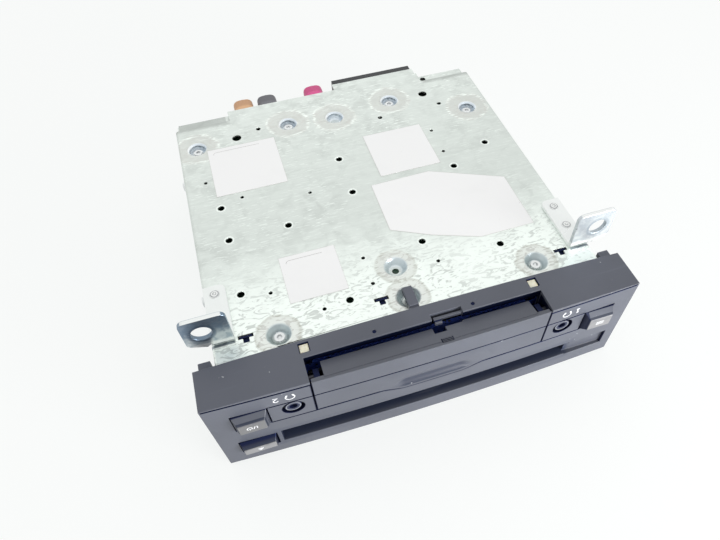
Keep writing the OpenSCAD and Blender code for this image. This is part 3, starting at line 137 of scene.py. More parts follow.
class EdgeLimit(Enum):
    """Which edges a bevel takes."""

    ANGLE = "ANGLE"
    WEIGHT = "WEIGHT"


@dataclass(frozen=True)
class Box:
    """A box of the source, in millimetres, on one side or on both sides of the middle plane."""

    low: Triple
    high: Triple
    mirrored: bool = True
    soft_mm: float = 0.1


class Value:
    """A number socket: an expression on it adds the Math nodes that work it out."""

    def __init__(self, graph: Graph, socket: Socket) -> None:
        """Wraps a socket of a graph."""
        self.graph = graph
        self.socket = socket

    def _join(self, op: Op, first: Number, second: Number = 0.0) -> Value:
        """Adds one Math node on two values or links."""
        node = self.graph.node("ShaderNodeMath", {"operation": op.value}, {0: first, 1: second})
        return Value(self.graph, node.outputs[0])

    def __add__(self, other: Number) -> Value:
        """This value plus another."""
        return self._join(Op.ADD, self, other)

    __radd__ = __add__

    def __sub__(self, other: Number) -> Value:
        """This value less another."""
        return self._join(Op.SUBTRACT, self, other)

    def __rsub__(self, other: Number) -> Value:
        """A number less this value."""
        return self._join(Op.SUBTRACT, other, self)

    def __mul__(self, other: Number) -> Value:
        """This value times another."""
        return self._join(Op.MULTIPLY, self, other)

    __rmul__ = __mul__

    def __abs__(self) -> Value:
        """The size of this value."""
        return self._join(Op.SIZE, self)

    def most(self, other: Number) -> Value:
        """The larger of this value and another."""
        return self._join(Op.MOST, self, other)


def strongest(masks: Iterable[Value]) -> Value:
    """The largest of several masks at each place."""
    return reduce(Value.most, masks)


class Graph:
    """The node tree of one material or of the world."""

    def __init__(self, tree: bpy.types.NodeTree) -> None:
        """Takes over a tree and empties it.

        Args:
            tree: The tree.
        """
        self.tree = tree
        tree.nodes.clear()
        self._here: Socket | None = None
        self._folded: Socket | None = None

    def node(self, kind: str, settings: dict[str, Any] | None = None,
             inputs: dict[int | str, Any] | None = None) -> bpy.types.Node:
        """Adds a node.

        Args:
            kind: The node's type.
            settings: What is set on the node first.
            inputs: Values or links of its sockets, by name or number.

        Returns:
            The new node.
        """
        made = self.tree.nodes.new(kind)
        for key, value in (settings or {}).items():
            setattr(made, key, value)
        for key, value in (inputs or {}).items():
            source = value.socket if isinstance(value, Value) else value
            socket = made.inputs[key]
            if isinstance(source, Socket):
                self.tree.links.new(source, socket)
            else:
                socket.default_value = (*source, 1.0) if socket.type == "RGBA" else source
        return made

    def vector(self, op: Op, first: Socket, second: Sequence[float] = (0.0, 0.0, 0.0)) -> Socket:
        """Adds one Vector Math node on a link and three numbers."""
        made = self.node("ShaderNodeVectorMath", {"operation": op.value}, {0: first, 1: tuple(second)})
        return made.outputs["Value" if op is Op.DISTANCE else "Vector"]

    def here(self) -> Socket:
        """The place on the piece, in metres, which moves with the piece.

        Returns:
            Its socket, the same at each call.
        """
        if self._here is None:
            self._here = self.node("ShaderNodeTexCoord").outputs["Object"]
        return self._here

    def folded(self) -> Socket:
        """The place on the piece with both sides of the middle plane laid on the right one.

        Returns:
            Its socket, the same at each call.
        """
        if self._folded is None:
            x, y, z = (self.along(axis) for axis in Axis)
            self._folded = self.node("ShaderNodeCombineXYZ", inputs={0: abs(x), 1: y, 2: z}).outputs[0]
        return self._folded

    def along(self, axis: Axis) -> Value:
        """One coordinate of the place on the piece, in metres."""
        split = self.node("ShaderNodeSeparateXYZ", inputs={0: self.here()})
        return Value(self, split.outputs[axis.value])

    def texture(self, kind: str, output: int | str, settings: dict[str, Any],
                inputs: dict[str, Any]) -> Value:
        """Adds a texture, which is read at the place on the piece if no other is given.

        Args:
            kind: The texture's type.
            output: The socket that is read.
            settings: What is set on the node first.
            inputs: Values or links of its sockets.

        Returns:
            The texture's value.
        """
        made = self.node(f"ShaderNodeTex{kind}", settings, {"Vector": self.here(), **inputs})
        return Value(self, made.outputs[output])

    def noise(self, scale: float | Triple, detail: float, warp: float = 0.0) -> Value:
        """Adds a cloud of noise.

        Args:
            scale: Clouds per metre, one number or one for each axis.
            detail: How many finer layers it has.
            warp: How much it is twisted.

        Returns:
            The noise, about 0.5.
        """
        inputs: dict[str, Any] = {"Scale": scale, "Detail": detail, "Distortion": warp}
        if isinstance(scale, tuple):
            inputs.update(Scale=1.0, Vector=self.vector(Op.MULTIPLY, self.here(), scale))
        return self.texture("Noise", 0, {"noise_dimensions": "3D"}, inputs)

    def band(self, value: Value, low: float, high: float) -> Value:
        """Eases from 0 at one limit of a value to 1 at the other."""
        settings = {"interpolation_type": "SMOOTHSTEP"}
        return Value(self, self.node("ShaderNodeMapRange", settings, {0: value, 1: low, 2: high}).outputs[0])

    def band_mm(self, value: Value, low: float, high: float) -> Value:
        """Eases from 0 to 1 between two limits in millimetres."""
        return self.band(value, low * MM, high * MM)

    def cloud(self, scale: float | Triple, detail: float, low: float, high: float,
              warp: float = 0.0) -> Value:
        """Noise that eases from 0 at one limit to 1 at the other."""
        return self.band(self.noise(scale, detail, warp), low, high)

    def blend(self, factor: Number, first: Paint, second: Paint) -> Socket:
        """Mixes two colours by the share of the second."""
        settings = {"data_type": "RGBA", "blend_type": "MIX", "clamp_factor": True}
        return self.node("ShaderNodeMix", settings, {0: factor, 6: first, 7: second}).outputs[2]

    def coats(self, base: Paint, *coats: tuple[Number, Paint]) -> Paint:
        """Lays colours over a base, one after the other.

        Args:
            base: The lowest colour.
            coats: Share and colour of each coat.

        Returns:
            The colour that is seen.
        """
        for share, colour in coats:
            base = self.blend(share, base, colour)
        return base

    def inside(self, box: Box) -> Value:
        """Finds what lies in a box of the source.

        Args:
            box: The box.

        Returns:
            1 inside, fading to 0 outside.
        """
        low, high = place(*box.low), place(*box.high)
        start = self.folded() if box.mirrored else self.here()
        off = self.vector(Op.SIZE, self.vector(Op.SUBTRACT, start, (low + high) / 2))
        over = self.vector(Op.SUBTRACT, off, (high - low) / 2)
        split = self.node("ShaderNodeSeparateXYZ", inputs={0: over})
        return self.band_mm(strongest(Value(self, part) for part in split.outputs), box.soft_mm, 0.0)

    def from_axis(self, at: Triple, axis: Axis, mirrored: bool = False) -> Value:
        """Distance from a line along one axis.

        Args:
            at: A place on the line, in millimetres of the source.
            axis: The line's direction.
            mirrored: Whether the line is taken on both sides of the middle plane.

        Returns:
            The distance, in metres.
        """
        keep = [1.0, 1.0, 1.0]
        keep[axis.value] = 0.0
        start = self.folded() if mirrored else self.here()
        centre = [part * kept for part, kept in zip(place(*at), keep)]
        return Value(self, self.vector(Op.DISTANCE, self.vector(Op.MULTIPLY, start, keep), centre))

    def bump(self, height: Value, deep_mm: float) -> Socket:
        """The normal of a surface raised by a height, of which 1 stands for a depth in millimetres."""
        inputs = {"Strength": 1.0, "Distance": deep_mm * MM, "Height": height}
        return self.node("ShaderNodeBump", inputs=inputs).outputs[0]

    def surface(self, **inputs: Any) -> None:
        """Ends the tree in one shader.

        Args:
            inputs: Values or links of its sockets, with the words of their names joined by underscores.
        """
        names = {"ior": "IOR"}
        named = {names.get(key, key.replace("_", " ").title()): value for key, value in inputs.items()}
        shader = self.node("ShaderNodeBsdfPrincipled", inputs=named)
        self.node("ShaderNodeOutputMaterial", inputs={"Surface": shader.outputs[0]})


@dataclass(frozen=True)
class Finish:
    """A surface finish, which paints its material once and keeps it."""

    name: str
    colour: Colour

    def toned(self, by: float) -> Colour:
        """The finish's colour made lighter or darker by a factor."""
        return shade(self.colour, by)

    def paint(self, graph: Graph) -> None:
        """Builds the finish's nodes in a material's tree."""
        raise NotImplementedError

    def material(self) -> bpy.types.Material:
        """Makes the finish's material at its first use.

        Returns:
            The material.
        """
        name = f"finish_{self.name}"
        made = bpy.data.materials.get(name)
        if made is None:
            made = bpy.data.materials.new(name)
            made.use_nodes = True
            self.paint(Graph(made.node_tree))
        return made


@dataclass(frozen=True)
class MouldedPlastic(Finish):
    """Moulded plastic with a spark-eroded grain, a cloudy tone, scuffs and dust."""

    roughness: float = 0.5
    grain_mm: float = 0.3
    grain_deep_mm: float = 0.012
    dust: float = 0.5

    def tone(self, graph: Graph) -> Socket:
        """The plastic's colour before dust and wear."""
        return graph.blend(graph.cloud(22.0, 4.0, 0.3, 0.7), self.toned(0.9), self.toned(1.1))

    def grime(self, graph: Graph) -> Value | None:
        """Where painted shade darkens the plastic and takes off its gloss: nowhere on plain mouldings."""
        return None

    def paint(self, graph: Graph) -> None:
        """Builds the finish's nodes.

        Args:
            graph: The material's tree.
        """
        grain = graph.noise(1.0 / (self.grain_mm * MM), 3.0)
        scuff = graph.cloud((30.0, 420.0, 260.0), 5.0, 0.6, 0.78, warp=0.6)
        specks = graph.cloud(520.0, 1.0, 0.775, 0.82) * self.dust
        base = graph.coats(self.tone(graph), (scuff * 0.22, self.toned(1.8)), (specks, DUST_GREY))
        metal: Number = 0.0
        # Painted shade in gaps and hollows: the colour is darkened to near black and most of the gloss is
        # taken off.
        dark = self.grime(graph)
        if dark is not None:
            base = graph.blend(dark, base, GAP_SHADE)
            metal = dark * 0.8
        rough = self.roughness + (grain - 0.5) * 0.18 + scuff * 0.08
        normal = graph.bump(grain, self.grain_deep_mm)
        graph.surface(base_color=base, roughness=rough, metallic=metal, normal=normal, ior=PLASTIC_IOR)


@dataclass(frozen=True)
class CapPlastic(MouldedPlastic):
    """Moulded plastic cap, paler where it leaves the panel."""

    pale_y: Pair = (192.2, 194.6)

    def tone(self, graph: Graph) -> Socket:
        """The plastic's colour, paler near the panel."""
        near = graph.band(graph.along(Axis.Y), depth(self.pale_y[1]), depth(self.pale_y[0]))
        return graph.blend(near * 0.4, super().tone(graph), self.toned(2.0))


@dataclass(frozen=True)
class PullEdge:
    """Lower edge of the flap, in millimetres: it dips in the middle for a finger pull."""

    z: float = 32.3
    drop: float = 2.5
    flat_x: float = 13.0
    end_x: float = 25.0
    scoop_x: Pair = (19.5, 13.0)
    line_down: float = 0.55
    line_half: Pair = (0.75, 0.5)

    @staticmethod
    def ease(x: float, start: float, end: float) -> float:
        """Eases from 0 at one distance from the middle to 1 at another."""
        t = max(0.0, min(1.0, (abs(x) - start) / (end - start)))
        return t * t * (3 - 2 * t)

    def dip(self, graph: Graph) -> Value:
        """Share of the dip at a place across the face."""
        return graph.band_mm(abs(graph.along(Axis.X)), self.end_x, self.flat_x)

    def above(self, graph: Graph) -> Value:
        """Height over the edge, in metres."""
        return graph.along(Axis.Z) - self.z * MM + self.dip(graph) * (self.drop * MM)

    def under_line(self, graph: Graph) -> Value:
        """The painted shade line under the dipped stretch of the edge."""
        line = graph.band_mm(abs(self.above(graph) + self.line_down * MM), *self.line_half)
        return line * graph.band(self.dip(graph), 0.02, 0.1)


@dataclass(frozen=True)
class GappedPlastic(MouldedPlastic):
    """Moulded plastic with painted shade down its gaps, grooves and openings."""

    gaps: tuple[Box, ...] = ()
    bores: tuple[tuple[Triple, float, Axis], ...] = ()
    shaded: tuple[Box, ...] = ()
    pull: PullEdge | None = None
    bore_soft_mm: float = 0.2

    def tone(self, graph: Graph) -> Socket:
        """The plastic's colour, darker in its shaded hollows."""
        hollows = ((graph.inside(box) * 0.85, SHADED) for box in self.shaded)
        return graph.coats(super().tone(graph), *hollows)

    def grime(self, graph: Graph) -> Value | None:
        """Where painted shade lies: in the gaps, grooves and bores and under the flap's dipped pull.

        Args:
            graph: The material's tree.

        Returns:
            1 in the gaps, fading to 0.
        """
        masks = [graph.inside(box) for box in self.gaps]
        for at, radius, way in self.bores:
            off = graph.from_axis(at, way, mirrored=True)
            masks.append(graph.band_mm(off, radius + self.bore_soft_mm, radius))
        if self.pull:
            masks.append(self.pull.under_line(graph))
        return strongest(masks)


@dataclass(frozen=True)
class ScoopedPlastic(GappedPlastic):
    """Flap plastic, with painted shade in the scoop of its finger pull."""

    scoop: PullEdge = PullEdge()
    fade_mm: Pair = (8.6, 2.2)
    narrow_mm: float = 4.5
    rim_mm: Pair = (1.05, 1.5)

    def tone(self, graph: Graph) -> Socket:
        """The plastic's colour, easing to painted shade in the scoop.

        Args:
            graph: The material's tree.

        Returns:
            The colour.
        """
        up = self.scoop.above(graph)
        lens = graph.band_mm(abs(graph.along(Axis.X)), *self.scoop.scoop_x)
        fade = graph.band_mm(up + (1.0 - lens) * (self.narrow_mm * MM), *self.fade_mm)
        dark = graph.band_mm(up, *self.rim_mm) * fade * lens
        return graph.blend(dark, super().tone(graph), shade(SHADED, 0.75))


@dataclass(frozen=True)
class KeyPlastic(MouldedPlastic):
    """Key plastic: a pressed face painted paler, as lit, darker slopes, and painted shade down its sides."""

    face_mm: float = 0.0
    clean_mm: float = 2.5
    fade_mm: float = 0.35
    face_colour: Colour = KEY_FACE_LIT
    dark_side: Box | None = None
    line_mm: float = 0.75
    line_half: Pair = (0.6, 0.3)

    def tone(self, graph: Graph) -> Socket:
        """The slopes' colour, easing to the face's paler painted colour over a painted shade line behind its
        edge.

        Args:
            graph: The material's tree.

        Returns:
            The colour.
        """
        y, rim = graph.along(Axis.Y), depth(self.face_mm)
        face = graph.band(y, rim + 0.35 * MM, rim + 0.05 * MM)
        # The face is painted paler in patches, standing in for the light on it.
        lit_face = face * graph.cloud(160.0, 4.0, 0.15, 0.5)
        # A painted shade line round the slopes just behind the face's edge.
        line = graph.band_mm(abs(y - (rim + self.line_mm * MM)), *self.line_half)
        return graph.coats(super().tone(graph), (line, shade(SHADED, 0.6)), (lit_face, self.face_colour))

    def grime(self, graph: Graph) -> Value | None:
        """Where painted shade lies: the foot of the key's sides, and one side that is shaded all over.

        Args:
            graph: The material's tree.

        Returns:
            1 where painted shade lies.
        """
        start = depth(self.face_mm + self.clean_mm)
        foot = graph.band(graph.along(Axis.Y), start, start + self.fade_mm * MM)
        return foot.most(graph.inside(self.dark_side) * 0.8) if self.dark_side else foot


@dataclass(frozen=True)
class GalvanisedSheet(Finish):
    """Galvanised sheet: rolling scratches, a front painted paler as a reflection with darker smears on it,
    pressed rings round drawn dishes, and dish walls painted lit with painted shade on their far sides.
    """

    roughness: float = 0.42
    dishes: tuple[tuple[float, float, float, float], ...] = ()
    holes: tuple[Triple, ...] = ()
    shades: tuple[tuple[Box, Colour], ...] = ()
    wall_mm: Pair = (51.4, 54.9)
    smear_mm: Pair = (82.0, 34.0)
    ring_colour: Colour = (0.6, 0.6, 0.57)
    smeared_ring: Colour = (0.42, 0.42, 0.37)
    # Painted light and shade on the dish walls.
    rear_wall: Colour = (0.97, 0.99, 1.0)
    front_wall: Colour = (0.62, 0.68, 0.67)
    far_wall: Colour = (0.62, 0.69, 0.76)

    def paint(self, graph: Graph) -> None:
        """Builds the finish's nodes.

        Args:
            graph: The material's tree.
        """
        pale, dull = self.toned(1.34), self.toned(0.8)
        floor_z, top_z = self.wall_mm
        rolling = graph.cloud((38.0, 700.0, 700.0), 4.0, 0.3, 0.7)
        spangle = graph.noise(120.0, 5.0, warp=0.8)
        wander = spangle - 0.5
        patch = graph.cloud(28.0, 3.0, 0.35, 0.62)
        dashes = graph.noise((210.0, 1500.0, 1500.0), 3.0, warp=0.5)
        nicks = graph.band(dashes, 0.575, 0.66) * (0.3 + patch * 0.7)
        tears = graph.cloud((150.0, 330.0, 330.0), 5.0, 0.52, 0.6, warp=2.2)
        front = graph.band(graph.along(Axis.Y) + wander * 0.03, *(depth(y) for y in self.smear_mm))
        up = graph.along(Axis.Z)
        top = graph.band_mm(up, top_z - 1.0, top_z - 0.2)
        slope = graph.band_mm(up, floor_z - 0.3, floor_z) * graph.band_mm(up, top_z + 0.25, top_z - 0.4)
        base = graph.coats(
            self.toned(1.05),
            (rolling * 0.35, self.toned(0.92)),
            (graph.band(spangle, 0.42, 0.68) * (0.25 + patch * 0.35), dull),
            (nicks * 0.8, pale),
            # Painted reflection: the front of the outer face is painted paler, with darker smears over it.
            (front * top * 0.95, self.toned(1.4)),
            (front * top * tears * (0.35 + patch * 0.4), dull),
        )
        if self.dishes:
            press, arcs, walls, backs = self._dish_masks(graph, wander, top)
            base = graph.coats(
                base,
                (press * (0.45 + tears * 0.3), self.ring_colour),
                (arcs * graph.band(dashes, 0.44, 0.6), pale),
                (arcs * front * (0.35 + tears * 0.4), self.smeared_ring),
                # Painted light on the dish walls, paler in the rear dishes than the front ones, and painted
                # shade on their far sides.
                (walls * slope, graph.blend(front, self.rear_wall, self.front_wall)),
                (backs * slope * (0.8 - front * 0.4), self.far_wall),
            )
        for x, y, radius in self.holes:
            off = graph.from_axis((x, y, 0.0), Axis.Z) + wander * 0.0012
            base = graph.blend(graph.band_mm(off, radius + 1.1, radius + 0.6) * 0.8, base, pale)
        base = graph.coats(base, *((graph.inside(box) * 0.75, colour) for box, colour in self.shades))
        rough = self.roughness + wander * 0.3 - nicks * 0.1
        normal = graph.bump(rolling * 0.15 + spangle * 0.85, 0.02)
        graph.surface(base_color=base, roughness=rough, metallic=0.9, normal=normal)

    def _dish_masks(self, graph: Graph, wander: Value, top: Value) -> list[Value]:
        """Finds the marks that pressing the dishes leaves, and where the dishes' walls are painted lit and
        shaded.

        Args:
            graph: The material's tree.
            wander: How far the marks stray.
            top: Where the sheet's outer face is.

        Returns:
            Masks of the pressed rings, the rings' edges, the dishes' walls, painted lighter as lit, and the
            walls' far sides, painted in shade.
        """
        found = []
        for x, y, rim, wide in self.dishes:
            plain = graph.from_axis((x, y, 0.0), Axis.Z)
            off = plain + wander * 0.004
            ring = top * graph.band_mm(off, wide * 1.06, wide * 0.96)
            edge = ring * graph.band_mm(off, wide * 0.8, wide * 0.95)
            hole = graph.band_mm(plain, rim + 0.6, rim + 0.3)
            lean = graph.along(Axis.X) + graph.along(Axis.Y) - (x * MM + depth(y))
            found.append((ring, edge, hole, hole * graph.band_mm(lean, -0.7 * rim, 0.9 * rim)))
        return [strongest(masks) for masks in zip(*found)]


@dataclass(frozen=True)
class EarPlate(Finish):
    """Zinc-plated ear, painted lit and shaded: a bright foot and top edge, a mottled blue-grey tab painted
    darker as in shade and darker still higher up, painted shade in a pressed ring round its hole, and painted
    shade lines along the top's back edge and the tab's foot.
    """

    tab_colour: Colour
    ring_colour: Colour
    metal: float = 0.95
    upper: float = 0.75
    hole: Triple = (91.0, 30.0, 66.8)
    hole_r: float = 4.25
    tab_z: float = 58.4
    top_z: float = 76.2
    upper_z: Pair = (62.5, 70.0)
    back_edge: Box = Box((80.0, 30.65, 75.2), (100.0, 31.3, 76.6))
    foot: Box = Box((84.0, 28.0, 54.0), (99.0, 29.3, 56.6), soft_mm=0.5)

    def paint(self, graph: Graph) -> None:
        """Builds the finish's nodes.

        Args:
            graph: The material's tree.
        """
        up = graph.along(Axis.Z)
        mottle = graph.noise(260.0, 6.0, warp=0.6)
        wander = mottle - 0.5
        tab = graph.band_mm(up + wander * 0.003, self.tab_z, self.tab_z + 2.2)
        off = graph.from_axis(self.hole, Axis.Y, mirrored=True) + wander * 0.0016
        # Painted light and shade: the tab darker than the foot and its upper part darker again, shade round
        # the hole, the top edge as bright as the foot, and shade lines at the top's back edge and the tab's
        # foot; the long streaks are the plate's own.
        base = graph.coats(
            self.colour,
            (tab * (0.62 + graph.band(mottle, 0.4, 0.6) * 0.38), self.tab_colour),
            (graph.band_mm(up + wander * 0.004, *self.upper_z) * self.upper, shade(self.ring_colour, 1.25)),
            (graph.band_mm(off, self.hole_r + 2.1, self.hole_r + 0.9) * 0.75, self.ring_colour),
            (graph.band_mm(up, self.top_z - 0.5, self.top_z - 0.25), self.colour),
            (graph.cloud((300.0, 300.0, 3000.0), 3.0, 0.58, 0.75) * 0.3, self.toned(1.1)),
            (graph.inside(self.back_edge) * 0.6, self.tab_colour),
            (graph.inside(self.foot) * 0.85, shade(self.ring_colour, 0.45)),
        )
        rough = 0.33 + wander * 0.3
        graph.surface(base_color=base, roughness=rough, metallic=self.metal, normal=graph.bump(mottle, 0.012))


@dataclass(frozen=True)
class FixingHead(Finish):
    """Head of a screw or rivet: bright, with painted shade round its edge and a dark broken ring in its
    middle.
    """

    axes_mm: tuple[Triple, ...]
    edge_mm: float = 1.75
    drive_mm: float = 0.7
    mirrored: bool = True
    metal: float = 0.95
    grime: Colour = (0.2, 0.21, 0.23)

    def paint(self, graph: Graph) -> None:
        """Builds the finish's nodes.

        Args:
            graph: The material's tree.
        """
        mottle = graph.noise(900.0, 4.0, warp=0.5)
        base = graph.blend(mottle * 0.3, self.colour, self.toned(0.8))
        for axis in self.axes_mm:
            off = graph.from_axis(axis, Axis.Z, self.mirrored) + (mottle - 0.5) * 0.0006
            # Painted shade in a ring round the head's edge.
            ring = graph.band_mm(abs(off - self.edge_mm * MM), 0.32, 0.1)
            spot = graph.band_mm(abs(off - self.drive_mm * MM), 0.3, 0.1) * graph.band(mottle, 0.42, 0.55)
            base = graph.blend(ring.most(spot) * 0.75, base, self.grime)
        rough = 0.3 + mottle * 0.15
        graph.surface(base_color=base, roughness=rough, metallic=self.metal, normal=graph.bump(mottle, 0.01))


@dataclass(frozen=True)
class SocketRing(Finish):
    """Headphone socket's mouth: a thin plated rim, with painted shade inside it and round it."""

    axis_mm: Triple = (63.3, 0.0, 40.3)
    rim_mm: Pair = (2.85, 3.2)

    def paint(self, graph: Graph) -> None:
        """Builds the finish's nodes.

        Args:
            graph: The material's tree.
        """
        low, high = self.rim_mm
        scratch = graph.noise(2600.0, 3.0)
        off = graph.from_axis(self.axis_mm, Axis.Y, mirrored=True)
        rim = graph.band_mm(off, low - 0.1, low + 0.05) * graph.band_mm(off, high + 0.2, high)
        # Painted shade inside and round the plated rim.
        base = graph.blend(rim, GAP_SHADE, self.colour)
        rough = 0.42 - rim * 0.2 + (scratch - 0.5) * 0.15
        normal = graph.bump(scratch, 0.003)
        graph.surface(base_color=base, roughness=rough, metallic=rim * 0.85, normal=normal)


@dataclass(frozen=True)
class PlatedMetal(Finish):
    """Plated or bare metal with a drawn grain, faint stains and fine scratches."""

    roughness: float = 0.3
    grain: Axis = Axis.X
    grain_mm: float = 0.25
    stain: float = 0.3
    stain_colour: Colour = (0.3, 0.31, 0.33)
    grain_stretch: float = 25.0

    def paint(self, graph: Graph) -> None:
        """Builds the finish's nodes.

        Args:
            graph: The material's tree.
        """
        across = 1.0 / (self.grain_mm * MM)
        scale = tuple(across / self.grain_stretch if axis is self.grain else across for axis in Axis)
        drawn = graph.noise(scale, 3.0)
        stain = graph.cloud(170.0, 6.0, 0.5, 0.75, warp=0.7) * self.stain
        scratch = graph.band(drawn, 0.55, 0.8) * 0.3
        base = graph.coats(self.colour, (stain, self.stain_colour), (scratch, self.toned(1.2)))
        rough = self.roughness + (drawn - 0.5) * 0.22 + stain * 0.3
        graph.surface(base_color=base, roughness=rough, metallic=1.0, normal=graph.bump(drawn, 0.004))


@dataclass(frozen=True)
class Paper(Finish):
    """Label paper with a faint fibre and a little dirt."""

    speck_colour: Colour = (0.35, 0.34, 0.33)

    def paint(self, graph: Graph) -> None:
        """Builds the finish's nodes.

        Args:
            graph: The material's tree.
        """
        fibre = graph.noise((1800.0, 5200.0, 5200.0), 4.0)
        grime = graph.cloud(60.0, 5.0, 0.55, 0.8)
        specks = graph.cloud(430.0, 1.0, 0.81, 0.85)
        base = graph.coats(self.colour, (grime * 0.3, self.toned(0.93)), (specks, self.speck_colour))
        rough = 0.62 + (fibre - 0.5) * 0.2
        graph.surface(base_color=base, roughness=rough, normal=graph.bump(fibre, 0.006))


@dataclass(frozen=True)
class Legend(Finish):
    """Printed or light-through legend with a thin, slightly patchy ink."""

    def paint(self, graph: Graph) -> None:
        """Builds the finish's nodes.

        Args:
            graph: The material's tree.
        """
        patchy = graph.cloud(1300.0, 4.0, 0.3, 0.75)
        base = graph.blend(patchy * 0.35, self.colour, self.toned(0.75))
        graph.surface(base_color=base, roughness=0.45 + patchy * 0.15, normal=graph.bump(patchy, 0.004))


@dataclass(frozen=True)
class MilkyPlastic(Finish):
    """Cream light-guide plastic, cloudy inside, lightly scratched on top, with painted shade down its sides.
    """

    clear_z: float = 54.4
    black_mm: float = 0.6
    glow_depth: Triple = (0.0025, 0.0022, 0.0015)
    ior: float = 1.49

    def paint(self, graph: Graph) -> None:
        """Builds the finish's nodes.

        Args:
            graph: The material's tree.
        """
        lines = graph.noise((900.0, 5000.0, 900.0), 3.0)
        # Painted shade down the sides, below the top.
        sides = graph.band_mm(graph.along(Axis.Z), self.clear_z, self.clear_z - self.black_mm)
        cloud = graph.cloud(420.0, 4.0, 0.3, 0.7)
        base = graph.coats(self.colour, (cloud, self.toned(0.86)), (sides, GAP_SHADE))
        graph.surface(
            base_color=base, roughness=0.3 + lines * 0.2, normal=graph.bump(lines, 0.008),
            subsurface_weight=0.4, subsurface_radius=self.glow_depth, ior=self.ior,
        )


@dataclass(frozen=True)
class SolderMask(Finish):
    """Green circuit board with tracks under the mask, pads and a silk of dust."""

    pad_colour: Colour = (0.06, 0.06, 0.06)
    dust_colour: Colour = (0.3, 0.32, 0.3)

    def paint(self, graph: Graph) -> None:
        """Builds the finish's nodes.

        Args:
            graph: The material's tree.
        """
        layout = {"offset": 0.37, "offset_frequency": 3, "squash": 1.6, "squash_frequency": 4}
        gaps = {"Scale": 210.0, "Mortar Size": 0.06, "Mortar Smooth": 0.2}
        tracks = graph.texture("Brick", "Fac", layout, gaps)
        cells = graph.texture("Voronoi", "Distance", {"feature": "F1"}, {"Scale": 240.0})
        pads = 1.0 - graph.band(cells, 0.13, 0.16)
        dust = graph.cloud(90.0, 5.0, 0.5, 0.8)
        lit = (tracks * 0.7, self.toned(1.9))
        base = graph.coats(self.colour, lit, (pads, self.pad_colour), (dust * 0.15, self.dust_colour))
        rough = 0.32 + dust * 0.25 - pads * 0.05
        graph.surface(base_color=base, roughness=rough, normal=graph.bump(tracks + pads, 0.03))


@dataclass(frozen=True)
class Rubber(Finish):
    """Dull rubber with a dusty bloom and a fine ground texture."""

    bloom_colour: Colour = (0.13, 0.13, 0.13)

    def paint(self, graph: Graph) -> None:
        """Builds the finish's nodes.

        Args:
            graph: The material's tree.
        """
        ground = graph.noise(3200.0, 3.0)
        bloom = graph.cloud(140.0, 5.0, 0.45, 0.8)
        base = graph.blend(bloom * 0.5, self.colour, self.bloom_colour)
        graph.surface(base_color=base, roughness=0.8 - ground * 0.15, normal=graph.bump(ground, 0.02))


@dataclass(frozen=True)
class Felt(Finish):
    """Black felt: tangled fibres with a soft sheen."""

    lint_colour: Colour = (0.2, 0.2, 0.21)

    def paint(self, graph: Graph) -> None:
        """Builds the finish's nodes.

        Args:
            graph: The material's tree.
        """
        fibres = graph.noise((2600.0, 5200.0, 1500.0), 5.0, warp=1.5)
        lint = graph.cloud(1900.0, 2.0, 0.68, 0.8)
        base = graph.coats(self.colour, (fibres * 0.6, self.toned(2.2)), (lint * 0.5, self.lint_colour))
        rough = 0.95 - fibres * 0.1
        graph.surface(base_color=base, roughness=rough, normal=graph.bump(fibres, 0.12), sheen_weight=0.5)


@dataclass(frozen=True)
class ClearGlass(Finish):
    """Coated lens glass with a faint haze."""

    ior: float = 1.5

    def paint(self, graph: Graph) -> None:
        """Builds the finish's nodes.

        Args:
            graph: The material's tree.
        """
        haze = graph.noise(900.0, 4.0)
        base = graph.blend(graph.band(haze, 0.3, 0.8), self.colour, self.toned(0.9))
        graph.surface(base_color=base, roughness=0.03 + haze * 0.05, transmission_weight=0.85, ior=self.ior)


@dataclass(frozen=True)
class RibbonFilm(Finish):
    """Flat cable: pale film with tinned conductors showing through."""

    tin_colour: Colour = (0.5, 0.5, 0.5)

    def paint(self, graph: Graph) -> None:
        """Builds the finish's nodes.

        Args:
            graph: The material's tree.
        """
        settings = {"wave_type": "BANDS", "bands_direction": "X"}
        lines = graph.texture("Wave", 1, settings, {"Scale": 320.0})
        haze = graph.noise(300.0, 3.0)
        base = graph.blend(graph.band(lines, 0.45, 0.6), self.colour, self.tin_colour)
        graph.surface(base_color=base, roughness=0.3 + haze * 0.15, normal=graph.bump(lines, 0.02))


